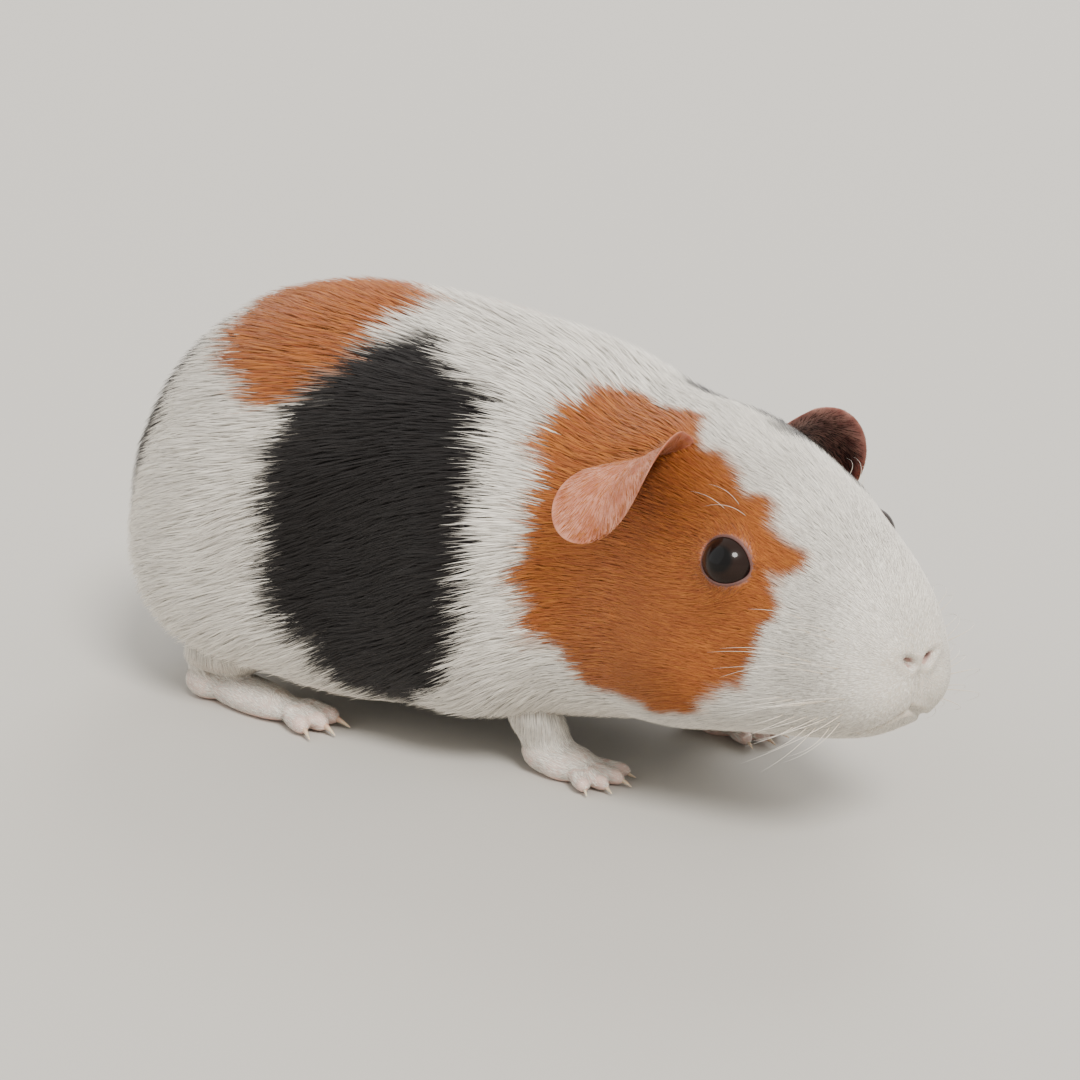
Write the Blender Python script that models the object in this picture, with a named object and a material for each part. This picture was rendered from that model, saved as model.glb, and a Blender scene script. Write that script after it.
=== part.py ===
"""A life-size, short-haired guinea pig on its four feet, with its head turned a little to its right.

The animal is one lofted body, parted at the neck, with ears, eyes, legs, feet and claws of their own.
Its outline is the coat's, out to the tips of the hair. It is modelled straight, with its nose towards +X,
its left side towards +Y and its feet on z = 0, and turn_head() then bends the front of it to one side.
"""

import math

import bmesh
import bpy
import numpy as np
from mathutils import Matrix, Vector

MM = 0.001
GAP = 0.3 * MM  # between two pieces that touch
SHARP = math.radians(42)  # edges that turn by more than this are drawn sharp

# --- Driving sizes of an adult -------------------------------------------------------------
BODY_LENGTH = 250 * MM  # nose to rump along the spine
NOSE_X = BODY_LENGTH / 2  # of the straight animal, before the head turns
HEAD_END = 73 * MM  # from the nose, along the spine
NECK_END = 92 * MM
TURN = math.radians(-13)  # of the head, towards the animal's right
TURN_STARTS, TURN_ENDS = 120 * MM, 74 * MM  # from the nose: the stretch of neck that bends

NOSE_ROUND, NOSE_POWER, NOSE_LEVEL = 11 * MM, 2.5, 45 * MM
RUMP_ROUND, RUMP_POWER, RUMP_LEVEL = 60 * MM, 2.2, 46 * MM

# Distance from the nose, top line, under line, level of the widest point, half width, in mm.
STATIONS = {
    "nose": (0, 59.5, 32, 44.5, 13.6),
    "muzzle": (12, 69.5, 27, 42.5, 18),
    "bridge": (26, 78.5, 24, 42, 22.8),
    "eyes": (40, 85.5, 22, 42.5, 27.4),
    "crown": (56, 90, 18.5, 43, 31.4),
    "nape": (72, 92.8, 14.5, 44, 34.6),
    "neck": (90, 96, 12, 45, 39),
    "shoulders": (112, 100.5, 9.8, 46, 45),
    "chest": (140, 104, 6.8, 46, 49),
    "back": (170, 106, 5.5, 46, 51),
    "loin": (200, 104.5, 7.6, 45, 51),
    "haunch": (225, 99.5, 8.6, 45, 49),
    "rump": (250, 91, 9.0, 45, 44),
}
UPPER_POWER, LOWER_POWER = 2.15, 2.95  # how square the section is above and below its widest level
PEAR = 0.07  # how much narrower the top of a section is than its foot

# Swellings and hollows: distance from the nose, side, level, their reach each way, and height, in mm.
# A side of 0 is on the midline, and any other is made on both sides.
FORMS = {
    "upper_lip": ((5, 6.5, 39), (7, 6, 6), 1.9),
    "whisker_pad": ((11, 13, 42), (8, 6, 8), 1.3),
    "nose_pad": ((1, 4, 50), (5, 4.5, 4), 0.9),
    "chin": ((11, 0, 29), (6, 7, 5), 0.9),
    "mouth_corner": ((13, 11, 34), (5, 5, 4), -0.9),
    "cheek": ((48, 29, 36), (17, 12, 15), 3.8),
    "throat": ((70, 30, 18), (12, 22, 12), -1.6),
    "neck_side": ((82, 38, 56), (12, 13, 24), -2.2),
    "brow": ((34, 19.5, 73.5), (9, 7, 6), 1.3),
    "eye_rim": ((36, 23.5, 63), (9, 7, 8), 0.9),
    "nose_bridge": ((22, 0, 72), (15, 8, 8), 1.2),
    "ear_root": ((61, 22, 82), (12, 9, 9), 1.5),
    "nape_dip": ((82, 0, 95), (15, 26, 10), -2.8),
    "shoulder": ((110, 43, 46), (20, 17, 26), 3.4),
    "elbow": ((109, 38, 16), (13, 10, 11), 2.6),
    "flank": ((150, 50, 48), (20, 14, 28), -2.6),
    "skirt": ((146, 43, 12), (34, 13, 13), 4.0),
    "haunch_bulge": ((200, 50, 40), (28, 18, 26), 4.0),
    "thigh": ((194, 50, 20), (26, 9, 12), 2.8),
    "rump_cleft": ((250, 0, 30), (16, 7, 14), -1.4),
}

# The eye sits on the body's surface at this distance from the nose and this angle of the section.
EYE_FROM_NOSE, EYE_ANGLE = 35.5 * MM, math.radians(29.5)
EYE_RADIUS, EYE_SHOWS = 6.4 * MM, 2.7 * MM

# The mouth: its middle's distance from the nose, how far back it reaches, and the angle to each corner.
MOUTH_FRONT, MOUTH_DEPTH, MOUTH_ARC = 2.2 * MM, 6.5 * MM, math.radians(31)
MOUTH_RADIUS, CLEFT_RADIUS, CLEFT_START = 0.75 * MM, 0.6 * MM, 0.35 * MM

# A nostril's distance from the nose, from the midline and height, its reach each way, and its turns.
NOSTRIL_PLACE = (1.2 * MM, 3.7 * MM, 47.6 * MM)
NOSTRIL_RADII, NOSTRIL_TURNS = (2.6 * MM, 0.9 * MM, 2.1 * MM), (-38, 12)

SIDES = {"left": 1, "right": -1}
COLOURS = {
    "white_coat": (0.80, 0.74, 0.65, 1),
    "golden_coat": (0.42, 0.19, 0.065, 1),
    "dark_coat": (0.035, 0.026, 0.022, 1),
    "bare_skin": (0.60, 0.36, 0.29, 1),
    "eye": (0.012, 0.008, 0.007, 1),
    "claw": (0.52, 0.40, 0.32, 1),
}
ROUGHNESS = {"eye": 0.05, "claw": 0.35, "bare_skin": 0.55}
COAT_ROUGHNESS = 0.7


# --- The body's surface --------------------------------------------------------------------
def station_curve(column, s):
    """A smooth curve through one column of STATIONS, at the distances s from the nose."""
    table = np.array(list(STATIONS.values())) * MM
    x, y = table[:, 0], table[:, column]
    slope = np.gradient(y, x)
    i = np.clip(np.searchsorted(x, s) - 1, 0, len(x) - 2)
    step = x[i + 1] - x[i]
    t = np.clip((s - x[i]) / step, 0, 1)
    start = (1 + 2 * t) * (1 - t) ** 2 * y[i] + t * (1 - t) ** 2 * step * slope[i]
    end = t * t * (3 - 2 * t) * y[i + 1] + t * t * (t - 1) * step * slope[i + 1]
    return start + end


def rounding(s):
    """How far the sections have closed towards the nose and the rump, and the level they close to."""
    nose = np.clip(1 - s / NOSE_ROUND, 0, 1)
    rump = np.clip(1 - (BODY_LENGTH - s) / RUMP_ROUND, 0, 1)
    share = (1 - nose**NOSE_POWER) ** (1 / NOSE_POWER) * (1 - rump**RUMP_POWER) ** (1 / RUMP_POWER)
    return share, np.where(s < BODY_LENGTH / 2, NOSE_LEVEL, RUMP_LEVEL)


def plain_body(s, angle):
    """Points of the body without its swellings. The angle runs from the left side over the back."""
    share, level = rounding(s)
    top, under, wide, half = (station_curve(k, s) for k in (1, 2, 3, 4))
    top, under, wide = (level + (z - level) * share for z in (top, under, wide))
    up = np.sin(angle) >= 0
    power = np.where(up, 2 / UPPER_POWER, 2 / LOWER_POWER)
    across = np.sign(np.cos(angle)) * np.abs(np.cos(angle)) ** power
    rise = np.sign(np.sin(angle)) * np.abs(np.sin(angle)) ** power
    y = half * share * across * (1 - PEAR * rise)
    z = wide + rise * np.where(up, top - wide, wide - under)
    return np.stack([NOSE_X - s, y, z], -1)


def swelling(points):
    """How far the swellings and hollows lift the surface at these points."""
    total = np.zeros(points.shape[:-1])
    for centre, reach, height in FORMS.values():
        for side in (1, -1) if centre[1] else (1,):
            middle = np.array([NOSE_X - centre[0] * MM, side * centre[1] * MM, centre[2] * MM])
            away = (points - middle) / (np.array(reach) * MM)
            total += height * MM * np.exp(-(away**2).sum(-1))
    return total


def body_point(s, angle, grow=0.0):
    """Points on the body, moved out along its normal by grow."""
    s, angle = np.broadcast_arrays(np.asarray(s, float), np.asarray(angle, float))
    tiny = 0.05 * MM
    inside = np.clip(s, 2 * tiny, BODY_LENGTH - 2 * tiny)
    along = plain_body(inside + tiny, angle) - plain_body(inside - tiny, angle)
    around = plain_body(inside, angle + 1e-3) - plain_body(inside, angle - 1e-3)
    normal = np.cross(along, around)
    normal /= np.maximum(np.linalg.norm(normal, axis=-1, keepdims=True), 1e-12)
    points = plain_body(s, angle)
    return points + normal * (swelling(points) + grow)[..., None]


def turn_head(points):
    """Bends the straight animal's front to one side. Sections stay square to the spine."""
    points = np.asarray(points, float)
    steps = np.linspace(-0.02, BODY_LENGTH + 0.02, 600)
    share = np.clip((TURN_STARTS - steps) / (TURN_STARTS - TURN_ENDS), 0, 1)
    heading = TURN * share * share * (3 - 2 * share)
    # The spine runs back from the rump's end, which stays where it is.
    length = np.diff(steps)
    x = np.concatenate([[0], np.cumsum(-np.cos(heading[:-1]) * length)])
    y = np.concatenate([[0], np.cumsum(-np.sin(heading[:-1]) * length)])
    x += NOSE_X - steps[-1] - x[-1]
    y -= y[-1]
    s = NOSE_X - points[..., 0]
    here = np.interp(s, steps, heading)
    bent = np.empty_like(points)
    bent[..., 0] = np.interp(s, steps, x) - np.sin(here) * points[..., 1]
    bent[..., 1] = np.interp(s, steps, y) + np.cos(here) * points[..., 1]
    bent[..., 2] = points[..., 2]
    return bent


# --- Making objects ------------------------------------------------------------------------
def clear_scene():
    for obj in list(bpy.data.objects):
        bpy.data.objects.remove(obj, do_unlink=True)


def material(name):
    found = bpy.data.materials.get(name)
    if found:
        return found
    made = bpy.data.materials.new(name)
    made.use_nodes = True
    shader = made.node_tree.nodes["Principled BSDF"]
    shader.inputs["Base Color"].default_value = COLOURS[name]
    shader.inputs["Roughness"].default_value = ROUGHNESS.get(name, COAT_ROUGHNESS)
    shader.inputs["Metallic"].default_value = 0.0
    made.diffuse_color = COLOURS[name]
    return made


def new_object(name, bm, look):
    bmesh.ops.recalc_face_normals(bm, faces=bm.faces[:])
    mesh = bpy.data.meshes.new(name)
    bm.to_mesh(mesh)
    bm.free()
    mesh.shade_smooth()
    mesh.set_sharp_from_angle(angle=SHARP)
    mesh.materials.append(material(look))
    obj = bpy.data.objects.new(name, mesh)
    bpy.context.scene.collection.objects.link(obj)
    return obj


def cutter(obj):
    obj.hide_render = True
    obj.display_type = "WIRE"
    return obj


def boolean(obj, other, operation="DIFFERENCE"):
    """Joins or cuts obj with another and keeps the result as obj's own mesh."""
    step = obj.modifiers.new(other.name, "BOOLEAN")
    step.operation = operation
    step.object = other
    graph = bpy.context.evaluated_depsgraph_get()
    made = bpy.data.meshes.new_from_object(obj.evaluated_get(graph))
    made.set_sharp_from_angle(angle=SHARP)
    obj.modifiers.clear()
    obj.data = made
    return obj


def lofted(bm, rings):
    """Bridges the rings, each an array of points. One point is a pole, and an open end gets a fan."""
    rings = [np.atleast_2d(ring) for ring in rings]
    if len(rings[0]) > 1:
        rings.insert(0, rings[0].mean(0, keepdims=True))
    if len(rings[-1]) > 1:
        rings.append(rings[-1].mean(0, keepdims=True))
    rows = [[bm.verts.new(point) for point in ring] for ring in rings]
    for first, second in zip(rows, rows[1:]):
        count = max(len(first), len(second))
        for i in range(count):
            j = (i + 1) % count
            corners = [first[i % len(first)], first[j % len(first)]]
            corners += [second[j % len(second)], second[i % len(second)]]
            bm.faces.new(list(dict.fromkeys(corners)))


def body_stretch(name, start, end, rows, look, grow=0.0, columns=34):
    """The body from one distance to another. An end at the nose or the rump closes to a pole."""
    angles = np.arange(columns) * 2 * math.pi / columns
    inner = rows[(rows > start + GAP) & (rows < end - GAP)]
    rings = []
    for s in (start, *inner, end):
        at_pole = s <= 0 or s >= BODY_LENGTH
        points = body_point(s, angles, grow)
        rings.append(turn_head(points.mean(0, keepdims=True) if at_pole else points))
    bm = bmesh.new()
    lofted(bm, rings)
    return new_object(name, bm, look)


def ellipsoid(bm, centre, radii, aim=(0, 0, 0), columns=12, rows=8):
    """Adds an ellipsoid to bm, turned by the angles aim, in degrees."""
    before = set(bm.verts)
    bmesh.ops.create_uvsphere(bm, u_segments=columns, v_segments=rows, radius=1)
    turned = Matrix.Identity(4)
    for axis, angle in zip("XYZ", aim):
        turned = Matrix.Rotation(math.radians(angle), 4, axis) @ turned
    place = Matrix.Translation(centre) @ turned @ Matrix.Diagonal((*radii, 1))
    bmesh.ops.transform(bm, matrix=place, verts=[v for v in bm.verts if v not in before])


def bend_verts(bm):
    for vert in bm.verts:
        vert.co = turn_head(np.array(vert.co))


def place(point, side):
    """A point given as distance from the nose, distance from the midline and height."""
    return Vector((NOSE_X - point[0], side * point[1], point[2]))


# --- Head, neck and trunk ------------------------------------------------------------------
def body_rows():
    """The distances from the nose of the body's rings: close at both rounded ends."""
    nose = NOSE_ROUND * (1 - np.cos(np.linspace(0, math.pi / 2, 7)))
    rump = BODY_LENGTH - RUMP_ROUND * (1 - np.cos(np.linspace(0, math.pi / 2, 9)))
    head = np.linspace(NOSE_ROUND, HEAD_END, 15)
    neck = np.linspace(HEAD_END, NECK_END, 4)
    trunk = np.linspace(NECK_END, BODY_LENGTH - RUMP_ROUND, 11)
    return np.unique(np.round(np.concatenate([nose, head, neck, trunk, rump]), 7))


def make_nostril(side):
    """A slit cut into the front of the nose, leaning out at its top."""
    bm = bmesh.new()
    turns = (side * NOSTRIL_TURNS[0], NOSTRIL_TURNS[1], 0)
    ellipsoid(bm, place(NOSTRIL_PLACE, side), NOSTRIL_RADII, turns, 8, 6)
    bend_verts(bm)
    return cutter(new_object(f"nostril_cutter_{side}", bm, "bare_skin"))


def make_groove(name, path, radius):
    """A round bar along a path on the body, given as pairs of distance from the nose and angle."""
    s, angle = np.array(path).T
    spine = turn_head(body_point(s, angle, 0.15 * radius))
    along = np.gradient(spine, axis=0)
    along /= np.linalg.norm(along, axis=1, keepdims=True)
    out = turn_head(body_point(s, angle, radius)) - spine
    out -= along * (out * along).sum(1, keepdims=True)
    out /= np.linalg.norm(out, axis=1, keepdims=True)
    side = np.cross(along, out)
    turns = np.arange(6) * math.pi / 3
    rings = []
    for point, up, over in zip(spine, out, side):
        rings.append(point + radius * (np.outer(np.cos(turns), up) + np.outer(np.sin(turns), over)))
    bm = bmesh.new()
    lofted(bm, rings)
    return cutter(new_object(name, bm, "bare_skin"))


def make_mouth():
    """The line between the lips. It runs around the front of the muzzle and drops towards its corners."""
    across = np.linspace(-1, 1, 9)
    path = [(MOUTH_FRONT + MOUTH_DEPTH * abs(t) ** 1.6, math.radians(-90) + MOUTH_ARC * t) for t in across]
    return make_groove("mouth_cutter", path, MOUTH_RADIUS)


def make_lip_cleft():
    """The upright cleft from the nose to the mouth."""
    path = [(s, math.radians(-90)) for s in np.linspace(CLEFT_START, MOUTH_FRONT, 4)]
    return make_groove("lip_cleft_cutter", path, CLEFT_RADIUS)


def make_eye(side_name, grow=0.0):
    bm = bmesh.new()
    radius = EYE_RADIUS + grow
    angle = EYE_ANGLE if side_name == "left" else math.pi - EYE_ANGLE
    centre = turn_head(body_point(EYE_FROM_NOSE, angle, EYE_SHOWS - EYE_RADIUS))
    ellipsoid(bm, Vector(centre), (radius,) * 3, (90, 0, 0), 14, 10)
    return new_object(f"eye_{side_name}" + ("_socket" if grow else ""), bm, "eye")


def make_head(rows):
    head = body_stretch("head", 0, HEAD_END - GAP / 2, rows, "golden_coat")
    for side_name, side in SIDES.items():
        boolean(head, cutter(make_eye(side_name, GAP)))
        boolean(head, make_nostril(side))
    boolean(head, make_mouth())
    boolean(head, make_lip_cleft())
    return head


# --- Ears ----------------------------------------------------------------------------------
EAR_ROOT = (63 * MM, 19.5 * MM, 82 * MM)
EAR_LENGTH, EAR_HALF_WIDTH, EAR_THICK, EAR_CUP = 28 * MM, 13.8 * MM, 1.2 * MM, 3.9 * MM
EAR_LIFTS, EAR_FALLS = math.radians(8), math.radians(-96)  # its slope at its root and at its tip
EAR_BACK = Vector((-0.82, 0.36, -0.42)).normalized()  # from its front edge to its back edge, on the left
EAR_FORWARD = 0.12  # how far it points forward
EAR_WIDEST, EAR_NARROWS, EAR_ROOT_SHARE = 0.45, 0.4, 0.70  # where along it, and its root's share of the width
EAR_RIPPLE = 1.6 * MM


def ear_point(u, v, side):
    """The ear's middle surface: u runs from its root to its tip, v from its front edge to its back edge."""
    slope = EAR_LIFTS + (EAR_FALLS - EAR_LIFTS) * u
    bend = EAR_FALLS - EAR_LIFTS
    out = EAR_LENGTH * (math.sin(slope) - math.sin(EAR_LIFTS)) / bend
    rise = -EAR_LENGTH * (math.cos(slope) - math.cos(EAR_LIFTS)) / bend
    full = math.sin(math.pi / 2 * min(u / EAR_WIDEST, 1.0))
    end = math.sqrt(max(0.0, 1 - (max(0.0, u - EAR_NARROWS) / (1 - EAR_NARROWS)) ** 2.2))
    half = EAR_HALF_WIDTH * (EAR_ROOT_SHARE + (1 - EAR_ROOT_SHARE) * full) * end
    back = Vector((EAR_BACK.x, EAR_BACK.y * side, EAR_BACK.z))
    outward = Vector((EAR_FORWARD, side, 0)).normalized()
    along = outward * math.cos(slope) + Vector((0, 0, math.sin(slope)))
    over = along.cross(back).normalized() * -side
    ripple = EAR_RIPPLE * math.sin(6.5 * v + 0.8) * u * (1 - u)
    point = place(EAR_ROOT, side) + outward * out + Vector((0, 0, rise)) + back * (half * v)
    return point + over * (EAR_CUP * (0.4 - v * v) * (0.3 + math.sin(math.pi * u) * 0.7) + ripple)


def make_ear(side_name, head_grown):
    side, steps, across = SIDES[side_name], 9, 8
    bm = bmesh.new()
    rows = []
    for i in range(steps):
        u = math.sin(math.pi / 2 * i / steps)  # closer together towards the rounded tip
        rows.append([bm.verts.new(ear_point(u, 2 * j / across - 1, side)) for j in range(across + 1)])
    tip = bm.verts.new(ear_point(1, 0, side))
    for low, high in zip(rows, rows[1:]):
        for j in range(across):
            bm.faces.new((low[j], low[j + 1], high[j + 1], high[j]))
    for j in range(across):
        bm.faces.new((rows[-1][j], rows[-1][j + 1], tip))
    bend_verts(bm)
    bmesh.ops.recalc_face_normals(bm, faces=bm.faces[:])
    shell = bmesh.ops.solidify(bm, geom=bm.faces[:], thickness=EAR_THICK)
    assert shell["geom"]
    ear = new_object(f"ear_{side_name}", bm, "bare_skin")
    return boolean(ear, head_grown)


# --- Legs, feet and claws ------------------------------------------------------------------
# Places are distance from the nose, distance from the midline and height, in mm.
# A leg's ring has two half widths as well, and a pad has three. A toe has its spread in degrees, below 0
# towards the animal's outer side, its length and the distance from its root to its tip.
LIMBS = {
    "fore": {
        "leg": [
            ((112, 27, 44), 14, 11),
            ((107, 27.5, 30), 13.5, 10.8),
            ((102, 26.8, 18), 12.5, 9.6),
            ((96.5, 25.4, 8), 8.2, 6.8),
        ],
        "pads": [((90.5, 24.5, 3.2), (8.8, 6.8, 4.6)), ((95.5, 25, 5.3), (7.2, 6.2, 5.9))],
        "toes": {
            "outer": (-31, 9.0, 7.6),
            "ring": (-11, 10.5, 9.6),
            "middle": (9, 10.5, 9.8),
            "inner": (29, 9.0, 7.8),
        },
        "toe_root": (85.5, 24.5, 2.5),
        "toe_radius": 2.15,
        "claw": (4.6, 0.95),
    },
    "hind": {
        "leg": [
            ((184, 38, 42), 25, 12),
            ((187, 38.8, 28), 24, 12.5),
            ((192.5, 39, 17), 20.5, 12),
            ((201, 38.2, 9), 12, 8.4),
        ],
        "pads": [((190, 38, 3.6), (20, 6.6, 4.9)), ((205, 37.5, 4.4), (8.2, 6.6, 5.3))],
        "toes": {
            "outer": (-17, 12.5, 11.2),
            "middle": (0, 13.5, 12.4),
            "inner": (17, 12.0, 11.0),
        },
        "toe_root": (175, 38.5, 3.1),
        "toe_radius": 2.7,
        "claw": (6.6, 1.2),
    },
}
FOOT_SPLAY = {"fore": 4, "hind": 8}  # degrees that a foot points out from the animal's line
# How far each foot stands forward, in mm.
STEP = {"fore": {"left": 5, "right": -4}, "hind": {"left": -5, "right": 4}}
LEG_TOP = 45 * MM  # where a leg's upper end stays, however its foot is placed
TOE_ARC = 6 * MM  # radius of the arc that the toes' roots stand on
TOE_MIDDLE, TOE_HALF, TOE_HEIGHT = 0.42, 0.68, 1.12  # shares of its length, and its height over its width
CLAW_SINK = 1.6 * MM  # of its root inside the toe
CLAW_CURVE, CLAW_TAPER, CLAW_TIP = 1.7, 1.3, 0.14  # how it falls and thins, and its tip's share of the radius
CLAW_FLATNESS, CLAW_CLEARS_FLOOR = 0.8, 0.55 * MM


def step_foot(obj, limb, side_name):
    """Leans a limb so that its foot stands a little forward or back. Everything below 7 mm moves alike."""
    for vert in obj.data.vertices:
        vert.co.x += STEP[limb][side_name] * MM * max(0.0, min(1.0, 1.2 - 1.2 * vert.co.z / LEG_TOP))
    return obj


def leg_ring(centre, half_x, half_y, side, columns=14):
    angles = np.arange(columns) * 2 * math.pi / columns
    middle = np.array(place([value * MM for value in centre], side))
    ring = np.stack([half_x * MM * np.cos(angles), half_y * MM * np.sin(angles), 0 * angles], -1)
    return middle + ring


def toe_frames(limb, side):
    """For each toe: its name, its root, its direction and its length."""
    shape = LIMBS[limb]
    root = place([value * MM for value in shape["toe_root"]], side)
    for name, (spread, length, reach) in shape["toes"].items():
        # A spread below 0 is towards the animal's outer side.
        angle = math.radians(-spread + FOOT_SPLAY[limb]) * side
        aim = Vector((math.cos(angle), math.sin(angle), 0))
        start = root + Vector((0, -math.sin(math.radians(spread)) * TOE_ARC * side, 0))
        yield name, start, aim, length * MM, reach * MM


def make_foot(limb, side_name, grow=0.0):
    """The pads and toes as one solid that is cut flat at the floor."""
    shape, side = LIMBS[limb], SIDES[side_name]
    name = f"{limb}foot_{side_name}" + ("_clearance" if grow else "")
    foot = None
    for centre, radii in shape["pads"]:
        bm = bmesh.new()
        size = [value * MM + grow for value in radii]
        middle = place([value * MM for value in centre], side)
        ellipsoid(bm, middle, size, (0, 0, side * FOOT_SPLAY[limb]), 10, 7)
        pad = new_object(name, bm, "bare_skin")
        foot = boolean(foot, cutter(pad), "UNION") if foot else pad
    for toe_name, start, aim, length, _ in toe_frames(limb, side):
        bm = bmesh.new()
        radius = shape["toe_radius"] * MM + grow
        turn = math.degrees(math.atan2(aim.y, aim.x))
        middle = start + aim * (length * TOE_MIDDLE)
        ellipsoid(bm, middle, (length * TOE_HALF + grow, radius, radius * TOE_HEIGHT), (0, 6, turn), 7, 5)
        boolean(foot, cutter(new_object(f"{name}_{toe_name}", bm, "bare_skin")), "UNION")
    if not grow:
        boolean(foot, floor_block())
    return step_foot(foot, limb, side_name)


def make_leg(limb, side_name, foot_grown, trunk_grown):
    shape, side = LIMBS[limb], SIDES[side_name]
    bm = bmesh.new()
    lofted(bm, [leg_ring(centre, x, y, side) for centre, x, y in shape["leg"]])
    leg = step_foot(new_object(f"{limb}leg_{side_name}", bm, "white_coat"), limb, side_name)
    boolean(leg, foot_grown)
    return boolean(leg, trunk_grown)


def floor_block():
    """Everything below z = 0, to cut the soles flat."""
    bm = bmesh.new()
    bmesh.ops.create_cube(bm, size=1)
    bmesh.ops.translate(bm, vec=(0, 0, -0.5), verts=bm.verts[:])
    return cutter(new_object("floor_block", bm, "bare_skin"))


def make_claw(name, tip_of_toe, aim, length, radius, level, grow=0.0):
    """A horn cone that curves down from inside the toe's tip to just above the floor."""
    rings, count, columns = [], 5, 6
    across = Vector((-aim.y, aim.x, 0))
    root = tip_of_toe - aim * CLAW_SINK
    for i in range(count + 1):
        t = i / count
        centre = root + aim * (length * t)
        centre.z = level + (CLAW_CLEARS_FLOOR + 0.25 * radius - level) * t**CLAW_CURVE
        size = radius * (1 - (1 - CLAW_TIP) * t**CLAW_TAPER) + grow
        ring = []
        for k in range(columns):
            angle = 2 * math.pi * k / columns
            out = across * (size * CLAW_FLATNESS * math.cos(angle))
            ring.append(centre + out + Vector((0, 0, size * math.sin(angle))))
        rings.append(np.array(ring))
    if grow:
        rings[0] = rings[0] - np.array(aim) * grow
    bm = bmesh.new()
    lofted(bm, rings)
    return new_object(name, bm, "claw")


def make_claws(limb, side_name, foot):
    shape, side = LIMBS[limb], SIDES[side_name]
    length, radius = (value * MM for value in shape["claw"])
    level = shape["toe_radius"] * MM * 1.05
    for toe_name, start, aim, _, reach in toe_frames(limb, side):
        name = f"claw_{limb}_{toe_name}_{side_name}"
        claw = (start + aim * reach, aim, length, radius, level)
        step_foot(make_claw(name, *claw), limb, side_name)
        socket = step_foot(make_claw(name + "_socket", *claw, GAP), limb, side_name)
        boolean(foot, cutter(socket))


def main():
    clear_scene()
    rows = body_rows()
    make_head(rows)
    body_stretch("neck", HEAD_END + GAP / 2, NECK_END - GAP / 2, rows, "white_coat")
    body_stretch("trunk", NECK_END + GAP / 2, BODY_LENGTH, rows, "dark_coat")
    head_grown = cutter(body_stretch("head_clearance", 0, NECK_END, rows, "golden_coat", GAP))
    trunk_grown = cutter(body_stretch("trunk_clearance", HEAD_END, BODY_LENGTH, rows, "dark_coat", GAP))
    for side_name in SIDES:
        make_eye(side_name)
        make_ear(side_name, head_grown)
        for limb in LIMBS:
            foot = make_foot(limb, side_name)
            make_leg(limb, side_name, cutter(make_foot(limb, side_name, GAP)), trunk_grown)
            make_claws(limb, side_name, foot)
    for obj in list(bpy.data.objects):
        if obj.hide_render:
            bpy.data.objects.remove(obj, do_unlink=True)


main()
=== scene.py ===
# %% [markdown]
# # A guinea pig, life size, with a full coat
# The frame holds the animal's plain solids: head, neck, trunk, legs, feet, ears, eyes and claws. This lesson
# lays one seamless skin just inside them, grows the coat on it with Geometry Nodes, and adds eyes, lids,
# claws and whiskers. Everything is in metres, with the nose towards +X and the animal's left towards +Y.

# %% Load the frame
import math

import bmesh
import bpy
import numpy as np
from mathutils import Matrix, Vector


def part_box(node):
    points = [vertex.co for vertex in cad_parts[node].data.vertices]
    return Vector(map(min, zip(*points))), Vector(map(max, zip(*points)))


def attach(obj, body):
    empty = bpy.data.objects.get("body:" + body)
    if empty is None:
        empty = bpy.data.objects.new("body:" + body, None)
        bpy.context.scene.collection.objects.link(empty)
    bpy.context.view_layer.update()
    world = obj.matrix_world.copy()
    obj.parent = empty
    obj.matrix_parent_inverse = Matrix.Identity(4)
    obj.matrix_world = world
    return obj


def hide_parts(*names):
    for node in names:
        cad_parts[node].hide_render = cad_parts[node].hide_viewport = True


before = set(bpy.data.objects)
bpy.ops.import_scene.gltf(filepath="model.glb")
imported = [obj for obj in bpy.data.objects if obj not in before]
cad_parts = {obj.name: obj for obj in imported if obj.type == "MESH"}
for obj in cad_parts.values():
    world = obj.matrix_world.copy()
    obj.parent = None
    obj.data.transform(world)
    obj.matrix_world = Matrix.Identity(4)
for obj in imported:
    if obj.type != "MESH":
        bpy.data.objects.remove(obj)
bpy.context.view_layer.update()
MM = 0.001
SIDES = {"left": 1, "right": -1}
FLESH = [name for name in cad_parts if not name.startswith(("eye_", "claw_"))]

# %% [markdown]
# ## The body's form
# A rodent's body is a soft barrel, so it is a loft: at each distance from the nose there is a top line, an
# under line, the level of the widest point and a half width. A superellipse joins them, and small bell-shaped
# swellings add lips, cheeks and haunches. A sculpted mesh could do the same, but here every size has a name.

# %% The sizes of the body, the same as those of the solids
BODY_LENGTH = 250 * MM
NOSE_X = BODY_LENGTH / 2
HEAD_END, NECK_END = 73 * MM, 92 * MM
TURN = math.radians(-13)
TURN_STARTS, TURN_ENDS = 120 * MM, 74 * MM
NOSE_ROUND, NOSE_POWER, NOSE_LEVEL = 11 * MM, 2.5, 45 * MM
RUMP_ROUND, RUMP_POWER, RUMP_LEVEL = 60 * MM, 2.2, 46 * MM
UPPER_POWER, LOWER_POWER, PEAR = 2.15, 2.95, 0.07

# Distance from the nose, top line, under line, level of the widest point, half width, in mm.
STATIONS = {
    "nose": (0, 59.5, 32, 44.5, 13.6),
    "muzzle": (12, 69.5, 27, 42.5, 18),
    "bridge": (26, 78.5, 24, 42, 22.8),
    "eyes": (40, 85.5, 22, 42.5, 27.4),
    "crown": (56, 90, 18.5, 43, 31.4),
    "nape": (72, 92.8, 14.5, 44, 34.6),
    "neck": (90, 96, 12, 45, 39),
    "shoulders": (112, 100.5, 9.8, 46, 45),
    "chest": (140, 104, 6.8, 46, 49),
    "back": (170, 106, 5.5, 46, 51),
    "loin": (200, 104.5, 7.6, 45, 51),
    "haunch": (225, 99.5, 8.6, 45, 49),
    "rump": (250, 91, 9.0, 45, 44),
}

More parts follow.
